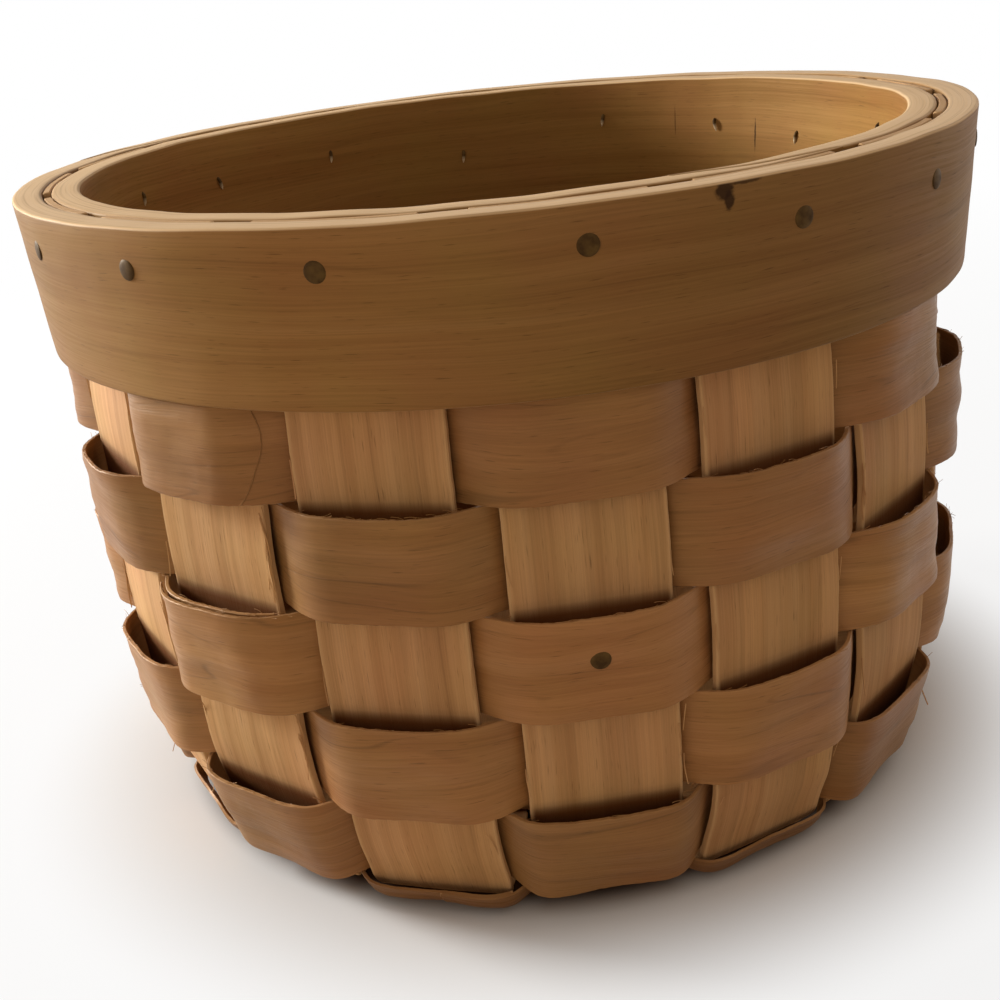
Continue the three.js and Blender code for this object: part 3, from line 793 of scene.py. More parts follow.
# %% Helpers for Geometry Nodes
def new_group(name, sockets):
    """A tree with named inputs, and the outputs of its input node."""
    tree = bpy.data.node_groups.new(name, "GeometryNodeTree")
    for label, kind in sockets.items():
        tree.interface.new_socket(label, in_out="INPUT", socket_type="NodeSocket" + kind)
    tree.interface.new_socket("Result", in_out="OUTPUT", socket_type="NodeSocketGeometry")
    return tree, add(tree, "NodeGroupInput")


def mark_wood(tree, geometry, grain, edge, tint):
    """Stores what a wood reads: metres along and across the grain, the cut edges, and the tone with its
    painted light and shade.
    """
    for name, value in (("grain", grain), ("edge", edge), ("tint", tint)):
        kind, domain = ("FLOAT2", "CORNER") if name == "grain" else ("FLOAT", "POINT")
        geometry = add(tree, "GeometryNodeStoreNamedAttribute", {
            "Geometry": geometry, "Name": name, "Value": value}, data_type=kind, domain=domain)[0]
    return geometry


def close_group(tree, geometry, material):
    """Makes copies real, gives them their material and hands them out."""
    real = add(tree, "GeometryNodeRealizeInstances", [geometry])[0]
    finished = add(tree, "GeometryNodeSetMaterial", {"Geometry": real, "Material": material})[0]
    add(tree, "NodeGroupOutput", [finished])
    print(tree.name, len(tree.nodes), "nodes")
    return tree


def grow(piece, tree, values):
    """Runs a tree on a piece and keeps the result as the piece's own plain mesh."""
    modifier = piece.modifiers.new(tree.name, "NODES")
    modifier.node_group = tree
    for socket in tree.interface.items_tree:
        if socket.in_out == "INPUT" and socket.name in values:
            modifier[socket.identifier] = values[socket.name]
    return settle(piece)


print("Geometry Nodes helpers ready")

# %% How a splint goes round and swings
LOOP_COUNT = STAKES / 2
END_NOSE = 0.7
END_SHAPED_FROM = 0.975
TEAR_WAVES = 2.3
SLACK_SCALE = 2.4
SLACK = (0.95, 1.2)


def splint_angle(tree, given, along, up):
    """The angle round the basket, with an outer end that is rounded and torn."""
    level_angle = add(tree, "ShaderNodeMapRange", [along, 0.0, 1.0, given["Start"], given["End"]])[0]
    waves = add(tree, "ShaderNodeMath", [up, TEAR_WAVES], operation="MULTIPLY")[0]
    tear_at = add(tree, "ShaderNodeCombineXYZ", [waves, given["Seed"]])[0]
    tear = add(tree, "ShaderNodeTexNoise", {"Vector": tear_at, "Scale": 1.0, "Detail": 1.5})[0]
    tear_out = add(tree, "ShaderNodeMath", [tear, 0.5], operation="SUBTRACT")[0]
    torn = add(tree, "ShaderNodeMath", [tear_out, given["Torn end"]], operation="MULTIPLY")[0]
    from_nose = add(tree, "ShaderNodeMath", [up, END_NOSE], operation="SUBTRACT")[0]
    nose = add(tree, "ShaderNodeMath", [from_nose, from_nose], operation="MULTIPLY")[0]
    end_shape = add(tree, "ShaderNodeMath", [nose, given["Round end"], torn], operation="MULTIPLY_ADD")[0]
    near_end = add(tree, "ShaderNodeMapRange", [along, END_SHAPED_FROM, 1.0, 0.0, 1.0],
                   interpolation_type="SMOOTHSTEP")[0]
    return add(tree, "ShaderNodeMath", [end_shape, near_end, level_angle], operation="MULTIPLY_ADD")[0]


def splint_swing(tree, given, angle, sine, loose):
    """The bare cosine, the same squared up, and how far the splint swings out of the wall."""
    past_crest = add(tree, "ShaderNodeMath", [angle, given["Crest"]], operation="SUBTRACT")[0]
    turn = add(tree, "ShaderNodeMath", [past_crest, LOOP_COUNT], operation="MULTIPLY")[0]
    swing = add(tree, "ShaderNodeMath", [turn], operation="COSINE")[0]
    slide = add(tree, "ShaderNodeMath", [turn], operation="SINE")[0]
    sideways = add(tree, "ShaderNodeMath", [sine, sine], operation="MULTIPLY")[0]
    square, loosened = [
        add(tree, "ShaderNodeMapRange", [sideways, 0.0, 1.0, given[front], given[side]])[0]
        for front, side in (("Squareness", "Side squareness"), ("Loop rise", "Side rise"))]
    powers = []
    for part, scale in ((swing, 1.0), (slide, square)):
        scaled = add(tree, "ShaderNodeMath", [part, scale], operation="MULTIPLY")[0]
        size = add(tree, "ShaderNodeMath", [scaled], operation="ABSOLUTE")[0]
        powers.append(add(tree, "ShaderNodeMath", [size, given["Corner"]], operation="POWER")[0])
    total = add(tree, "ShaderNodeMath", powers, operation="ADD")[0]
    root = add(tree, "ShaderNodeMath", [1.0, given["Corner"]], operation="DIVIDE")[0]
    spread = add(tree, "ShaderNodeMath", [total, root], operation="POWER")[0]
    wave = add(tree, "ShaderNodeMath", [swing, spread], operation="DIVIDE")[0]
    slack = add(tree, "ShaderNodeMapRange", [loose, *NOISE_RANGE, *SLACK])[0]
    rise = add(tree, "ShaderNodeMath", [loosened, slack], operation="MULTIPLY")[0]
    slide_square = add(tree, "ShaderNodeMath", [slide, slide], operation="MULTIPLY")[0]
    flat = add(tree, "ShaderNodeMath", [slide_square, given["Flatness"]], operation="MULTIPLY")[0]
    return swing, wave, add(tree, "ShaderNodeMath", [wave, rise, flat], operation="MULTIPLY_ADD")[0]


print(LOOP_COUNT, "loops in a row, each up to", SLACK[1], "times as high as its rise")

# %% How its ends lap and its edges fray
END_FEATHERED_FROM = 0.986
RIPPLE = 0.5 * MM
RIPPLE_SCALE = 14.0
FRAY_SCALE = 9.0
FRAY_ROUGHNESS = 0.72
FUZZ_SCALE = 70.0


def splint_lap(tree, given, along, angle, tilt, swing, swung, chance):
    """How far the splint stands out with its lap, flare and ripples, and the feather of its end."""
    whole_turn = add(tree, "ShaderNodeMath", [given["Start"], given["Whole turn"]], operation="ADD")[0]
    ramp_start = add(tree, "ShaderNodeMath", [whole_turn, given["Lap ramp"]], operation="SUBTRACT")[0]
    lap = add(tree, "ShaderNodeMapRange", [angle, ramp_start, whole_turn, 0.0, given["Lap step"]],
              interpolation_type="SMOOTHSTEP")[0]
    crest = add(tree, "ShaderNodeMath", [swing, 0.0], operation="MAXIMUM")[0]
    crest_share = add(tree, "ShaderNodeMath", [crest, 2.0], operation="POWER")[0]
    lean = add(tree, "ShaderNodeMath", [given["Flare"], tilt], operation="MULTIPLY")[0]
    flared = add(tree, "ShaderNodeMath", [crest_share, lean, swung], operation="MULTIPLY_ADD")[0]
    ripple = add(tree, "ShaderNodeTexNoise", {**chance, "Scale": RIPPLE_SCALE, "Detail": 2.0},
                 noise_dimensions="4D")[0]
    rippled = add(tree, "ShaderNodeMath", [ripple, RIPPLE, flared], operation="MULTIPLY_ADD")[0]
    lapped = add(tree, "ShaderNodeMath", [rippled, lap], operation="ADD")[0]
    feather = add(tree, "ShaderNodeMapRange", [along, END_FEATHERED_FROM, 1.0, 0.0, 1.0],
                  interpolation_type="SMOOTHSTEP")[0]
    thinned = add(tree, "ShaderNodeMath", [feather, given["Feather"]], operation="MULTIPLY")[0]
    return add(tree, "ShaderNodeMath", [lapped, thinned], operation="SUBTRACT")[0], feather


def splint_distance(tree, given, up, signed, wave, chance):
    """The distance up the wall, with edges that wander and fray where the splint is free."""
    distance = add(tree, "ShaderNodeMapRange", [up, 0.0, 1.0, given["Lower edge"], given["Upper edge"]])[0]
    free = add(tree, "ShaderNodeMath", [wave], operation="ABSOLUTE")[0]
    ragged = add(tree, "ShaderNodeMath", [given["Ragged edge"], free], operation="MULTIPLY")[0]
    frays = {"Scale": FRAY_SCALE, "Detail": 7.0, "Roughness": FRAY_ROUGHNESS}
    fuzz = {"Scale": FUZZ_SCALE, "Detail": 2.0}
    for texture, amount in ((frays, ragged), (fuzz, given["Fuzz"])):
        rough = add(tree, "ShaderNodeTexNoise", {**chance, **texture}, noise_dimensions="4D")[0]
        centred = add(tree, "ShaderNodeMath", [rough, 0.5], operation="SUBTRACT")[0]
        at_edge = add(tree, "ShaderNodeMath", [centred, signed], operation="MULTIPLY")[0]
        distance = add(tree, "ShaderNodeMath", [at_edge, amount, distance], operation="MULTIPLY_ADD")[0]
    return distance


print("ripples up to", round(RIPPLE / MM, 1), "mm high")

# %% The woven splint as a node tree
SIDE_EDGE_MARK = 0.955
END_EDGE = (0.4984, 0.4994)
LOOP_TONES = (0.93, 1.07)
SPLINT_SIZES = (
    "Lower edge", "Upper edge", "Loop rise", "Side rise", "Corner", "Squareness", "Side squareness",
    "Flatness", "Crest", "Start", "End", "Whole turn", "Lap ramp", "Lap step", "Flare", "Ragged edge",
    "Fuzz", "Torn end", "Round end", "Feather", "Tone", "Seed")


def splint_tree():
    sockets = {"Wall": "Object", **{name: "Float" for name in SPLINT_SIZES}}
    sockets.update({"Steps along": "Int", "Steps across": "Int", "Wood": "Material"})
    tree, given = new_group("woven_splint", sockets)
    sheet = add(tree, "GeometryNodeMeshGrid", [1.0, 1.0, given["Steps along"], given["Steps across"]])["Mesh"]
    spot = add(tree, "ShaderNodeSeparateXYZ", [add(tree, "GeometryNodeInputPosition")[0]])
    along = add(tree, "ShaderNodeMath", [spot["X"], 0.5], operation="ADD")[0]
    up = add(tree, "ShaderNodeMath", [spot["Y"], 0.5], operation="ADD")[0]
    signed = add(tree, "ShaderNodeMath", [spot["Y"], 2.0], operation="MULTIPLY")[0]
    angle = splint_angle(tree, given, along, up)
    cosine = add(tree, "ShaderNodeMath", [angle], operation="COSINE")[0]
    sine = add(tree, "ShaderNodeMath", [angle], operation="SINE")[0]
    chance = {"Vector": add(tree, "ShaderNodeCombineXYZ", [cosine, sine, up])[0], "W": given["Seed"]}
    loose = add(tree, "ShaderNodeTexNoise", {**chance, "Scale": SLACK_SCALE, "Detail": 1.0},
                noise_dimensions="4D")[0]
    swing, wave, swung = splint_swing(tree, given, angle, sine, loose)
    out, feather = splint_lap(tree, given, along, angle, spot["Y"], swing, swung, chance)
    distance = splint_distance(tree, given, up, signed, wave, chance)

    # Set out square to the wall's outline, then turned round the basket
    wall = add(tree, "GeometryNodeObjectInfo", [given["Wall"]])["Geometry"]
    sample = add(tree, "GeometryNodeSampleCurve", {"Curves": wall, "Length": distance}, mode="LENGTH")
    foot = add(tree, "ShaderNodeSeparateXYZ", [sample["Position"]])
    slope = add(tree, "ShaderNodeSeparateXYZ", [sample["Tangent"]])
    radius = add(tree, "ShaderNodeMath", [slope["Z"], out, foot["X"]], operation="MULTIPLY_ADD")[0]
    dip = add(tree, "ShaderNodeMath", [slope["X"], out], operation="MULTIPLY")[0]
    height = add(tree, "ShaderNodeMath", [foot["Z"], dip], operation="SUBTRACT")[0]
    right = add(tree, "ShaderNodeMath", [radius, sine], operation="MULTIPLY")[0]
    back = add(tree, "ShaderNodeMath", [radius, cosine], operation="MULTIPLY")[0]
    front = add(tree, "ShaderNodeMath", [back, -1.0], operation="MULTIPLY")[0]
    place = add(tree, "ShaderNodeCombineXYZ", [right, front, height])[0]

    # What the wood needs to know: metres along and across, the cut edges, and the tone of each loop with its
    # row's painted light and shade
    metres = add(tree, "ShaderNodeMath", [angle, RIM_RADIUS, given["Seed"]], operation="MULTIPLY_ADD")[0]
    grain = add(tree, "ShaderNodeCombineXYZ", [metres, distance])[0]
    from_edge = add(tree, "ShaderNodeMath", [signed, SIDE_EDGE_MARK], operation="MULTIPLY")[0]
    side_edge = add(tree, "ShaderNodeMath", [from_edge], operation="ABSOLUTE")[0]
    from_middle = add(tree, "ShaderNodeMath", [spot["X"]], operation="ABSOLUTE")[0]
    end_edge = add(tree, "ShaderNodeMapRange", [from_middle, *END_EDGE, 0.0, 1.0])[0]
    edge = add(tree, "ShaderNodeMath", [side_edge, end_edge], operation="MAXIMUM")[0]
    tone = add(tree, "ShaderNodeMapRange", [loose, *NOISE_RANGE, *LOOP_TONES])[0]
    tint = add(tree, "ShaderNodeMath", [tone, given["Tone"]], operation="MULTIPLY")[0]
    marked_sheet = mark_wood(tree, sheet, grain, edge, tint)
    feathered = add(tree, "GeometryNodeStoreNamedAttribute", {
        "Geometry": marked_sheet, "Name": "feather", "Value": feather}, data_type="FLOAT", domain="POINT")[0]
    bent = add(tree, "GeometryNodeSetPosition", {"Geometry": feathered, "Position": place})[0]
    return close_group(tree, bent, given["Wood"])


woven_splint = splint_tree()

# %% [markdown]
# Each row sets the tree's named inputs. How square the swing must be follows from the corner of a
# stake: the splint has to pass it with its own half thickness and a little air.

# %% Sizes of the rows
# One value a row, in millimetres where it is a length, from the top row down to the hoop at the foot
LOOP_RISES = (4.4, 4.6, 4.6, 4.6, 4.0, 2.9)
SIDE_LOOP_RISES = (5.2, 5.2, 4.9, 3.7, 3.6, 1.45)
LOOP_FLARES = (0.0, 1.8, 1.4, 1.6, 1.4, 0.0)
# Painted light and shade by row: the third and fourth rows paler, as lit from the table below, and the hoop
# darkest, in painted shade
ROW_PAINTED_LIGHT = (0.93, 0.92, 1.15, 1.14, 0.93, 0.75)
LAP_STAKES = (0, 9, 0, 7, 8, 1)
LAP_TURNS = (1, 1, -1, 1, 1, -1)
LAP_REACHES = (2.15, 2.15, 2.15, 2.15, 2.15, 0.95)
LAP_SLACKS = (0.1, 0.2, 0.8, 0.2, 0.2, 0.05)
TORN_ENDS = (1.6, 1.5, 2, 1.5, 1.5, 0.3)
ROUND_ENDS = (5, 1, 1, 1, 1, 0.3)
SPLINT = {"thickness": 0.78 * MM, "corner": 2.5, "air": 0.7 * MM, "steps_across": 15}
HOOP = {"thickness": 0.55 * MM, "corner": 2.0, "air": 0.1 * MM, "steps_across": 6}
STEPS_ALONG = 1200
FIRST_SEED = 3.1
SEED_STEP = 1.7
RAGGED_EDGE = 1.2 * MM
EDGE_FIBRES = 0.4 * MM
SPLINT_SOFTNESS = 0.13 * MM
SLOPE_ALLOWANCE = 1.2


def stake_heading(stake):
    return (stake - outer_strip) * STAKE_STEP


def swing_shape(distance, rise, thickness, corner, air):
    """Half angle of a stake, how far its flat middle lies inside its corners, and the squareness."""
    radius = float(wall_place(distance)[0])
    half = stake_width / 2
    edge = math.atan(half / (radius - STAKE_THICKNESS / 2))
    needed = STAKE_THICKNESS / 2 + air + thickness / 2 * SLOPE_ALLOWANCE
    squareness = ((rise / needed) ** corner - 1) ** (1 / corner) / math.tan(edge * LOOP_COUNT)
    return edge, (math.hypot(radius, half) - radius) / math.sin(edge * LOOP_COUNT) ** 2, squareness


print("loops rise", LOOP_RISES, "mm at the front and", SIDE_LOOP_RISES, "mm at the sides")

# %% Weave the rows and the hoop at the foot
def wall_curve():
    data = bpy.data.curves.new("wall_outline", "CURVE")
    data.dimensions = "3D"
    line = data.splines.new("POLY")
    line.points.add(len(outline) - 1)
    for point, (radius, height) in zip(line.points, outline):
        point.co = (radius, 0, height, 1)
    return put("wall_outline", data)


def feather_end(piece):
    """Makes a vertex group of the lapped end, where the splint was shaved thin."""
    layer = piece.data.attributes["feather"].data
    shares = np.zeros(len(layer))
    layer.foreach_get("value", shares)
    group = piece.vertex_groups.new(name="feather")
    for k in np.flatnonzero(shares):
        group.add([int(k)], shares[k], "REPLACE")
    return piece


def weave(name, row, thickness, corner, air, steps_across):
    """The splint of a row, and the points of its upper edge."""
    low, high = rows[row]
    rise, side_rise = LOOP_RISES[row] * MM, SIDE_LOOP_RISES[row] * MM
    edge, flatness, _ = swing_shape((low + high) / 2, rise, thickness, corner, air)
    squareness, side_squareness = [
        min(swing_shape(place, height, thickness, corner, air)[2] for place in (low, high))
        for height in (rise, side_rise)]
    turn = LAP_TURNS[row]
    start = stake_heading(LAP_STAKES[row]) - turn * edge
    lap = LAP_REACHES[row] * edge
    values = {
        "Wall": wall_line, "Lower edge": low, "Upper edge": high, "Loop rise": rise, "Side rise": side_rise,
        "Corner": corner, "Squareness": squareness, "Side squareness": side_squareness, "Flatness": flatness,
        "Crest": stake_heading(row % 2), "Start": start, "End": start + turn * (2 * math.pi + lap),
        "Whole turn": turn * 2 * math.pi, "Lap ramp": turn * (STAKE_STEP - 2 * edge),
        "Lap step": thickness + LAP_SLACKS[row] * MM, "Flare": LOOP_FLARES[row] * MM,
        "Ragged edge": RAGGED_EDGE, "Fuzz": EDGE_FIBRES, "Torn end": TORN_ENDS[row] * MM / RIM_RADIUS,
        "Round end": -turn * ROUND_ENDS[row] * MM / END_NOSE ** 2 / RIM_RADIUS,
        "Feather": thickness * (1 - FEATHERED) / 2, "Tone": ROW_PAINTED_LIGHT[row],
        "Seed": FIRST_SEED + SEED_STEP * row, "Steps along": STEPS_ALONG, "Steps across": steps_across,
        "Wood": weaver_wood,
    }
    sheet = grow(put(name, bpy.data.meshes.new(name)), woven_splint, values)
    top_edge = [vertex.co.copy() for vertex in list(sheet.data.vertices)[steps_across - 1::steps_across]]
    return settle(thicken(feather_end(sheet), thickness, SPLINT_SOFTNESS)), top_edge


wall_line = wall_curve()
weavers, top_edges = [], []
for row in range(row_count):
    splint, top_edge = weave(f"weaver_row_{row + 1}_splint", row, **SPLINT)
    weavers.append(splint)
    top_edges.append(top_edge)
    hand_over(splint, "weaver_wood", f"weaver_row_{row + 1}")
hoop, _ = weave("base_hoop_splint", row_count, **HOOP)
hand_over(hoop, "weaver_wood", "base_hoop")
bpy.data.objects.remove(wall_line)

# %% [markdown]
# ## Loose fibres
# A split strip sheds fibres along its edges, most of them where a weaver has rubbed it. One hair of
# wood is swept along a bent curve inside the tree. Copies of it are set on points along the edges of
# the stakes, turned and scaled at random with a fixed seed. The knife left a fuzz of shorter ones on the
# upper edges of the weavers, and these lie nearly along the splint, as its grain does.

# %% The fibres as a node tree
HAIR_STEPS = 7
HAIR_SIDES = 3
HAIR_TINT = 1.1
HAIR_SIZES = (0.45, 1.25)


def fibre_tree():
    tree, given = new_group("loose_fibres", {
        "Roots": "Geometry", "Length": "Float", "Bow": "Float", "Radius": "Float", "Spread": "Vector",
        "Seed": "Int", "Wood": "Material"})
    half_way = add(tree, "ShaderNodeMath", [given["Length"], 0.5], operation="MULTIPLY")[0]
    outwards = add(tree, "ShaderNodeMath", [given["Bow"], -1.0], operation="MULTIPLY")[0]
    middle = add(tree, "ShaderNodeCombineXYZ", [given["Bow"], 0.0, half_way])[0]
    tip = add(tree, "ShaderNodeCombineXYZ", [0.0, outwards, given["Length"]])[0]
    hair = add(tree, "GeometryNodeCurveQuadraticBezier", {
        "Resolution": HAIR_STEPS, "Start": (0, 0, 0), "Middle": middle, "End": tip})[0]
    section = add(tree, "GeometryNodeCurvePrimitiveCircle", {
        "Resolution": HAIR_SIDES, "Radius": given["Radius"]})[0]
    strand = add(tree, "GeometryNodeCurveToMesh", {
        "Curve": hair, "Profile Curve": section, "Fill Caps": True})[0]
    fibre = mark_wood(tree, strand, add(tree, "GeometryNodeInputPosition")[0], 0.0, HAIR_TINT)
    stance = add(tree, "GeometryNodeInputNamedAttribute", {"Name": "stance"}, data_type="FLOAT_VECTOR")[0]
    against = add(tree, "ShaderNodeVectorMath", {0: given["Spread"], "Scale": -1.0}, operation="SCALE")[0]
    stray = add(tree, "FunctionNodeRandomValue", {
        0: against, 1: given["Spread"], "Seed": given["Seed"]}, data_type="FLOAT_VECTOR")[0]
    turned = add(tree, "ShaderNodeVectorMath", [stance, stray], operation="ADD")[0]
    size_seed = add(tree, "ShaderNodeMath", [given["Seed"], 1.0], operation="ADD")[0]
    size = add(tree, "FunctionNodeRandomValue", {2: HAIR_SIZES[0], 3: HAIR_SIZES[1], "Seed": size_seed})[1]
    copies = add(tree, "GeometryNodeInstanceOnPoints", {
        "Points": given["Roots"], "Instance": fibre, "Rotation": turned, "Scale": size})[0]
    return close_group(tree, copies, given["Wood"])


loose_fibres = fibre_tree()

# %% Fray the edges of the stakes and the weavers
FIBRES = {"Length": 7 * MM, "Bow": 0.5 * MM, "Radius": 0.13 * MM, "Seed": 3, "Wood": stake_wood,
          "Spread": (math.radians(3), math.radians(4), math.radians(60))}
FIBRES_PER_EDGE = 1
FIBRE_STRAY = 0.5 * MM
FIBRE_SINK = 0.2 * MM
FIBRE_END_GAP = 6.5 * MM
# Fibres on the most worn edges, by stake, side and row
WORN_EDGES = {(0, 1, 1): 20, (15, -1, 2): 10, (0, 1, 3): 8, (4, -1, 1): 6, (2, 1, 3): 5}
FUZZ = {"Length": 2.2 * MM, "Bow": 0.3 * MM, "Radius": 0.05 * MM, "Seed": 8, "Wood": weaver_wood,
        "Spread": (math.radians(12), math.radians(9), math.radians(14))}
FUZZ_PER_ROW = 330
FUZZ_LIFT = math.radians(80)


def compass(heading):
    """The directions outward and aside at a heading."""
    return (np.array([math.sin(heading), -math.cos(heading), 0]),
            np.array([math.cos(heading), math.sin(heading), 0]))


def fibre_roots():
    """Places on the edges of the stakes in the rows where they show, and which way a fibre stands."""
    draw = np.random.RandomState(11)
    places, stances = [], []
    shown = [(stake, row, side) for stake in range(STAKES) for row in range(row_count) for side in (-1, 1)
             if (stake + row) % 2]
    for stake, row, side in shown:
        low, high = rows[row]
        heading = stake_heading(stake)
        outward, aside = compass(heading)
        for _ in range(WORN_EDGES.get((stake, side, row), FIBRES_PER_EDGE)):
            distance = draw.uniform(low + FIBRE_END_GAP, high - FIBRE_END_GAP)
            radius, height = wall_place(distance)
            ahead = wall_place(distance + MM)
            lean = math.atan2(ahead[0] - radius, ahead[1] - height)
            sway = STAKE_SWAY * math.cos(math.pi * (distance - (low + high) / 2) / row_pitch)
            out = radius + sway + STAKE_THICKNESS / 2 - FIBRE_SINK
            stray = draw.uniform(-FIBRE_STRAY, FIBRE_STRAY)
            places.append(outward * out + aside * (side * stake_width / 2 + stray) + [0, 0, height])
            stances.append((lean, math.pi * draw.randint(2), heading))
    return places, stances


def fuzz_roots():
    """Places on the upper edges of the weavers, and which way a fibre lies along them."""
    draw = np.random.RandomState(23)
    places, stances = [], []
    for top_edge in top_edges:
        for k in draw.randint(0, len(top_edge), FUZZ_PER_ROW):
            places.append(top_edge[k])
            heading = math.atan2(top_edge[k].x, -top_edge[k].y)
            stances.append((0, FUZZ_LIFT * draw.choice([-1, 1]), heading))
    return places, stances


def fray(name, roots, values):
    places, stances = roots
    mesh = bpy.data.meshes.new(name)
    mesh.from_pydata(places, [], [])
    layer = mesh.attributes.new("stance", "FLOAT_VECTOR", "POINT")
    layer.data.foreach_set("vector", np.array(stances).ravel())
    return grow(put(name, mesh), loose_fibres, values)


stake_fibres = fray("stake_fibres", fibre_roots(), FIBRES)
weaver_fuzz = fray("weaver_fuzz", fuzz_roots(), FUZZ)
hand_over(stake_fibres, "stake_wood")
hand_over(weaver_fuzz, "weaver_wood")

# %% [markdown]
# ## Rim bands
# Each rim band is one sawn strip, steamed, bent round and lapped with a long taper at its ends. Its
# section is a tall rectangle with eased corners. The section is carried round the rim by a loop and
# thinned over the lap, so the two ends share one thickness.

# %% The section of a band
EASED_CORNER = 0.6 * MM
EASE_SHARE = 0.45
CORNER_STEPS = 5
SHORT_RUN = 4
TALL_RUN = 14


def band_section(thickness):
    """Depth, height and cut-edge mark of the points of one section."""
    ease = min(EASED_CORNER, EASE_SHARE * thickness)
    deep, tall = thickness - ease, BAND_HEIGHT - ease
    corners = [(ease, ease, 180), (deep, ease, 270), (deep, tall, 0), (ease, tall, 90)]
    runs = (SHORT_RUN, TALL_RUN, SHORT_RUN, TALL_RUN)
    points = []
    for (depth, height, start), following, run in zip(corners, corners[1:] + corners[:1], runs):
        for turn in np.radians(np.linspace(start, start + 90, CORNER_STEPS)):
            rise = math.sin(turn)
            points.append((depth + ease * math.cos(turn), height + ease * rise, abs(rise)))
        here = np.array(points[-1][:2])
        ahead = np.radians(following[2])
        there = np.array([following[0] + ease * math.cos(ahead), following[1] + ease * math.sin(ahead)])
        for share in np.linspace(0, 1, run + 1)[1:-1]:
            points.append((*(here + (there - here) * share), points[-1][2]))
    return np.array(points)


print("band section of", len(band_section(OUTER_BAND)), "points,", round(BAND_HEIGHT / MM, 1), "mm tall")

# %% Make the two bands
BAND_SNUG = 0.65 * MM
SCARF_LENGTH = 34 * MM
SCARF_TIP = 0.5 * MM
THINNEST = 0.3 * MM
BAND_STATIONS = 640
BAND_TONE = 0.15
BAND_SWELL = 0.25 * MM
BAND_LIFT = 0.25 * MM
BAND_GRAIN_RELIEF = 0.1 * MM
BAND_GRAIN_HEIGHT = 6 * MM
SWELLS_ROUND = 3
CUT_FLOOR = 0.9
# On the corner towards the stakes the face's brown shows, painted shade of the gap between band and stake
STAKE_SIDE_PAINTED_SHADE = 0.8
LOWER_CUT = 0.6
UPPER_CUT = 1.35


def lap_depths(past_start, scarf, thickness):
    """The depths between which the band lies at an angle past its start, thinned over the lap."""
    entering = min(1, past_start / scarf)
    leaving = max(0, (past_start - 2 * math.pi) / scarf)
    taper = thickness - 2 * SCARF_TIP
    low = SCARF_TIP + CLEARANCE / 2 + taper * leaving if leaving > 0 else 0
    high = SCARF_TIP - CLEARANCE / 2 + taper * entering if entering < 1 else thickness
    return low, max(high - low, THINNEST)


def cut_share(height, from_stakes):
    """How bare the cut edge is: most on top, less at the bottom, and less on the corner towards the stakes,
    whose face brown is painted shade of the gap.
    """
    if height < EASED_CORNER:
        return LOWER_CUT
    return UPPER_CUT if from_stakes > EASED_CORNER else STAKE_SIDE_PAINTED_SHADE


def make_band(name, outside, thickness, scarf_angle, wood, seed, stakes_outside, pale_stretches, pale_at):
    scarf = SCARF_LENGTH / outside
    angles = np.linspace(scarf_angle, scarf_angle + 2 * math.pi + scarf, BAND_STATIONS)
    section = band_section(thickness)
    points = np.zeros((BAND_STATIONS, len(section), 3))
    edge = np.zeros((BAND_STATIONS, len(section)))
    for k, angle in enumerate(angles):
        low, depth_here = lap_depths(angle - scarf_angle, scarf, thickness)
        x, y = math.cos(angle) * SWELLS_ROUND, math.sin(angle) * SWELLS_ROUND
        swell = BAND_SWELL * noise.noise(Vector((x, y, seed)))
        rise = BAND_LIFT * noise.noise(Vector((x * 2, y * 2, seed + 4)))
        for j, (depth, height, mark) in enumerate(band_section(depth_here)):
            level = height / BAND_GRAIN_HEIGHT + seed
            grain = BAND_GRAIN_RELIEF * noise.noise(Vector((x * 4, y * 4, level)))
            z = BAND_BOTTOM + height + rise * height / BAND_HEIGHT
            fall = BAND_TAPER * (RIM_TOP - z) / BAND_HEIGHT
            radius = outside - thickness + low + depth - fall + swell + grain
            points[k, j] = (radius * math.sin(angle), -radius * math.cos(angle), z)
            bare = mark * cut_share(height, depth_here - depth if stakes_outside else depth)
            edge[k, j] = CUT_FLOOR + (1 - CUT_FLOOR) * min(1, bare)
    across = lengths_along(np.vstack([section, section[:1]])[:, :2])
    top_start = int(np.argmax(section[:, 1] > section[:, 1].max() - 1e-9))
    along = np.tile((angles * outside)[:, None], (1, len(section)))
    tone = 1 + BAND_TONE * np.cos(pale_stretches * (angles - pale_at))[:, None]
    return skin(name, points, along, across - across[top_start], edge, tone, wood, closed=True)


inner_band_outside = lip_radius - STAKE_THICKNESS / 2 - CLEARANCE
outer_band = make_band(
    "rim_band_outer_wood", RIM_RADIUS, OUTER_BAND + BAND_SNUG, math.radians(-120), outer_band_wood, 2.4,
    stakes_outside=False, pale_stretches=3, pale_at=math.radians(-20))
inner_band = make_band(
    "rim_band_inner_wood", inner_band_outside + BAND_SNUG, INNER_BAND + BAND_SNUG, math.radians(24),
    inner_band_wood, 7.9, stakes_outside=True, pale_stretches=2, pale_at=math.radians(90))
hand_over(settle(outer_band), "outer_band_wood", "rim_band_outer")
hand_over(settle(inner_band), "inner_band_wood", "rim_band_inner")

# %% [markdown]
# ## Nails
# Small nails hold the rim. Each has a domed head outside, goes through both bands and a stake, and has
# its tip hammered over inside. One nail is turned from a row of rings, and Geometry Nodes set a copy at
# each of the sixteen places, tilted a little at random, as nails driven by hand are.

# %% Nail metal
STAIN_SIZE = 1.8
STAIN_RELIEF = 0.08 * MM
STAIN_STOPS = ((0.35, "#3d2a12"), (0.68, "#56401d"))
STAIN_GLOSS = (0.72, 0.52)
HAMMERED_GLINT_COLOUR = "#d2c2a4"


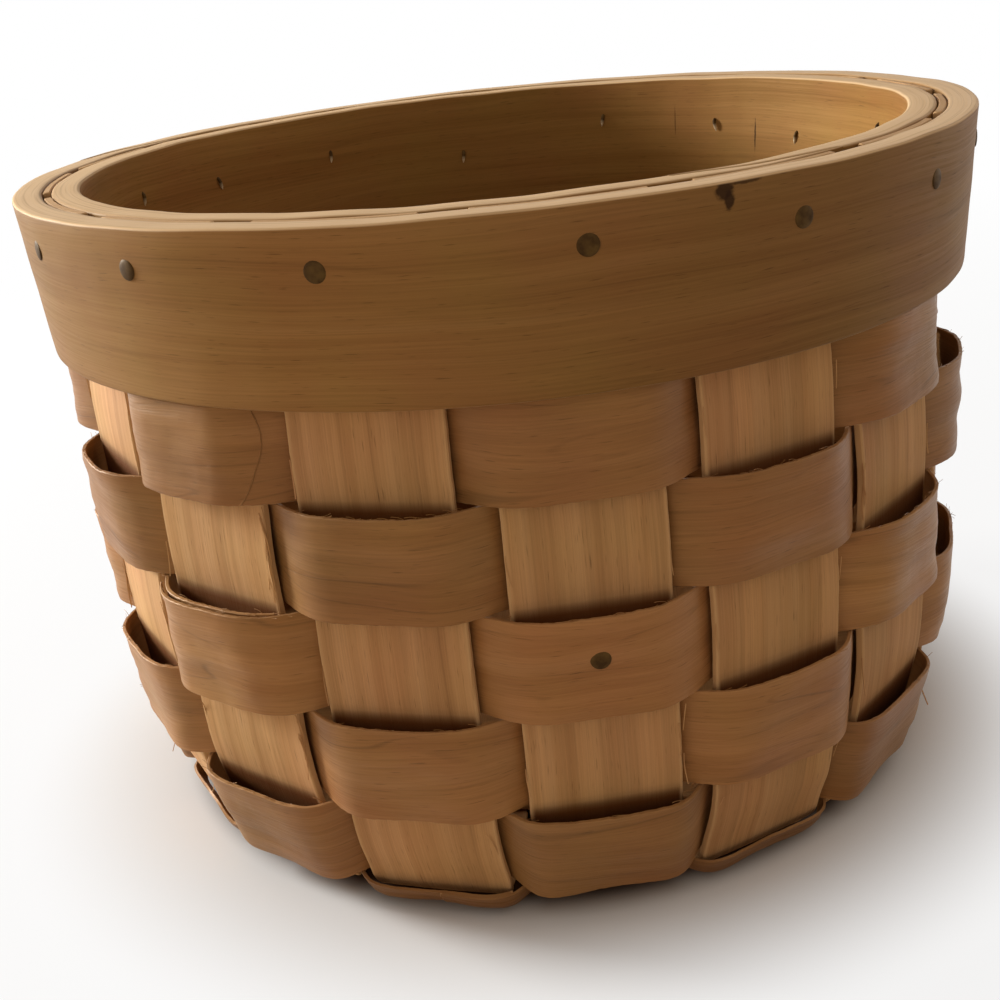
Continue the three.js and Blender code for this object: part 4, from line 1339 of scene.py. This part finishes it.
def make_nail_metal():
    # Brass-plated steel, worn and tarnished: dull olive brown with darker stains and a soft shine, and
    # pale where the tip was hammered over, bare metal whose pale colour is also a painted glint
    material, tree = blank_material("tarnished_plated_steel")
    body = add(tree, "ShaderNodeTexCoord")["Object"]
    stain = add(tree, "ShaderNodeTexNoise", {
        "Vector": body, "Scale": 1 / (STAIN_SIZE * MM), "Detail": 3.0})[0]
    ramp = add(tree, "ShaderNodeValToRGB", [stain])[0]
    for stop, (at, colour) in zip(ramp.node.color_ramp.elements, STAIN_STOPS):
        stop.position = at
        stop.color = linear(colour)
    worn = add(tree, "ShaderNodeAttribute", attribute_name="worn")["Fac"]
    plated = add(tree, "ShaderNodeMix", {0: worn, 6: ramp, 7: linear(HAMMERED_GLINT_COLOUR)}, data_type="RGBA")[2]
    rough = add(tree, "ShaderNodeMapRange", [stain, *NOISE_RANGE, *STAIN_GLOSS])[0]
    normal = add(tree, "ShaderNodeBump", {"Strength": 0.4, "Distance": STAIN_RELIEF, "Height": stain})[0]
    shader = add(tree, "ShaderNodeBsdfPrincipled", {
        "Base Color": plated, "Metallic": 0.15, "Roughness": rough, "Specular IOR Level": 0.12,
        "Normal": normal})[0]
    add(tree, "ShaderNodeOutputMaterial", [shader])
    return material


nail_metal = make_nail_metal()
print("nail metal:", nail_metal.name)

# %% One nail
HEAD_RADIUS = 1.9 * MM
HEAD_HEIGHT = 0.35 * MM
HEAD_UNDERSIDE = 0.97
NECK = 0.05 * MM
SHANK_RADIUS = 0.42 * MM
CLINCH_LENGTH = 3.0 * MM
CLINCH_BEND = 1.0 * MM
NAIL_SIDES = 20
DOME_ANGLES = (6, 25, 45, 62, 76, 88)
CLINCH_ANGLES = (0, 30, 60, 90)
TAPER = ((0.75, 0.8), (1.0, 0.15))
TACK_TAPER = ((0.7, 1.0), (1.0, 0.15))


def nail_rings(length, clinched):
    """Place along and up, radius and dip of the rings that a nail is turned from."""
    rings = []
    for angle in np.radians(DOME_ANGLES):
        rings.append((-HEAD_HEIGHT * math.cos(angle), 0, HEAD_RADIUS * math.sin(angle), 0))
    rings.append((0, 0, HEAD_RADIUS * HEAD_UNDERSIDE, 0))
    rings.append((NECK, 0, SHANK_RADIUS, 0))
    if clinched:
        for dip in np.radians(CLINCH_ANGLES):
            y = length - CLINCH_BEND + CLINCH_BEND * math.sin(dip)
            rings.append((y, -CLINCH_BEND * (1 - math.cos(dip)), SHANK_RADIUS, dip))
        rings += [(length, -share * CLINCH_LENGTH, thin * SHANK_RADIUS, math.pi / 2) for share, thin in TAPER]
    else:
        rings += [(share * length, 0, thin * SHANK_RADIUS, 0) for share, thin in TACK_TAPER]
    return rings


def nail_mesh(name, length, clinched):
    """A nail with its head's underside at the origin and its shank along +Y."""
    rings = nail_rings(length, clinched)
    turn = np.linspace(0, 2 * math.pi, NAIL_SIDES, endpoint=False)
    points, faces = [], []
    for y, z, half, dip in rings:
        rise = half * np.sin(turn)
        points.append(np.column_stack([
            half * np.cos(turn), y + rise * math.sin(dip), z + rise * math.cos(dip)]))
    for ring in range(len(rings) - 1):
        for k in range(NAIL_SIDES):
            following = (k + 1) % NAIL_SIDES
            base = ring * NAIL_SIDES
            faces.append((base + k, base + NAIL_SIDES + k, base + NAIL_SIDES + following, base + following))
    last = (len(rings) - 1) * NAIL_SIDES
    faces.append(tuple(range(NAIL_SIDES)))
    faces.append(tuple(last + k for k in reversed(range(NAIL_SIDES))))
    mesh = bpy.data.meshes.new(name)
    mesh.from_pydata(np.vstack(points).tolist(), [], faces)
    # The hammered tip is marked for its pale bare metal, which also stands for a painted glint
    worn = np.zeros((len(rings), NAIL_SIDES))
    worn[-2:] = clinched
    mesh.attributes.new("worn", "FLOAT", "POINT").data.foreach_set("value", worn.ravel())
    mesh.materials.append(nail_metal)
    return put(name, mesh)


print("nail heads", round(2 * HEAD_RADIUS / MM, 1), "mm across")

# %% The tree that sets it sixteen times
def nails_tree():
    tree, given = new_group("driven_nails", {
        "Places": "Geometry", "Nail": "Object", "Tilt": "Float", "Tip swing": "Float", "Seed": "Int",
        "Metal": "Material"})
    nail = add(tree, "GeometryNodeObjectInfo", [given["Nail"]])["Geometry"]
    heading = add(tree, "GeometryNodeInputNamedAttribute", {"Name": "heading"}, data_type="FLOAT")[0]
    swing_seed = add(tree, "ShaderNodeMath", [given["Seed"], 1.0], operation="ADD")[0]
    turns = []
    for limit, seed in ((given["Tilt"], given["Seed"]), (given["Tip swing"], swing_seed)):
        against = add(tree, "ShaderNodeMath", [limit, -1.0], operation="MULTIPLY")[0]
        turns.append(add(tree, "FunctionNodeRandomValue", {2: against, 3: limit, "Seed": seed})[1])
    turn = add(tree, "ShaderNodeCombineXYZ", [*turns, heading])[0]
    copies = add(tree, "GeometryNodeInstanceOnPoints", {
        "Points": given["Places"], "Instance": nail, "Rotation": turn})[0]
    return close_group(tree, copies, given["Metal"])


driven_nails = nails_tree()

# %% Drive the rim nails
# How far each nail strays along the rim and how far it sits under the rim's top, in millimetres
NAIL_DRIFT = (-0.4, -1.1, 2.9, 1.6, 0.4, 1.2, -1.5, 1.1, -5.2, -6.5, -1.1, 2.3, 4.5, 0.2, -1.3, 4.2)
NAIL_DROP = (7.2, 7.2, 6.5, 8, 8.5, 7.5, 8, 12.2, 10.8, 8.5, 14.5, 9, 10.5, 7.8, 7.4, 6.8)
NAIL_PROUD = 0.1 * MM
NAIL_TILT = math.radians(4)
TIP_SWING = math.radians(18)


def seat_on(piece, heading, drift, height):
    """The place where a line from outside first meets a piece, at a heading and a sideways drift."""
    outward, aside = compass(heading)
    start = outward * 2 * RIM_RADIUS + aside * drift + [0, 0, height]
    return piece.ray_cast(Vector(start), Vector(-outward))[1]


def drive_rim_nails():
    reach = RIM_RADIUS - inner_band_outside + INNER_BAND + SHANK_RADIUS + NAIL_PROUD
    nail = nail_mesh("one_nail", reach, clinched=True)
    headings = [stake_heading(stake) for stake in range(STAKES)]
    places = [
        seat_on(outer_band, heading, drift * MM, RIM_TOP - drop * MM)
        for heading, drift, drop in zip(headings, NAIL_DRIFT, NAIL_DROP)]
    mesh = bpy.data.meshes.new("rim_nails")
    mesh.from_pydata(places, [], [])
    mesh.attributes.new("heading", "FLOAT", "POINT").data.foreach_set("value", headings)
    nails = grow(put("rim_nails", mesh), driven_nails, {
        "Nail": nail, "Tilt": NAIL_TILT, "Tip swing": TIP_SWING, "Seed": 5, "Metal": nail_metal})
    bpy.data.objects.remove(nail)
    return nails


rim_nails = drive_rim_nails()
hand_over(rim_nails, "nail_metal", *[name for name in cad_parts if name.startswith("rim_nail_")])

# %% The tack that holds the third weaver
TACK_STAKE = 2
TACK_ROW = 2
TACK_LENGTH = 9 * MM
tack_low, tack_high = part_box("weaver_tack")
tack_heading = stake_heading(TACK_STAKE)
tack = nail_mesh("weaver_tack_metal", TACK_LENGTH, clinched=False)
tack_seat = seat_on(weavers[TACK_ROW], tack_heading, 0, (tack_low.z + tack_high.z) / 2)
tack.data.transform(Matrix.Translation(tack_seat) @ Matrix.Rotation(tack_heading, 4, "Z"))
hand_over(settle(tack), "nail_metal", "weaver_tack")
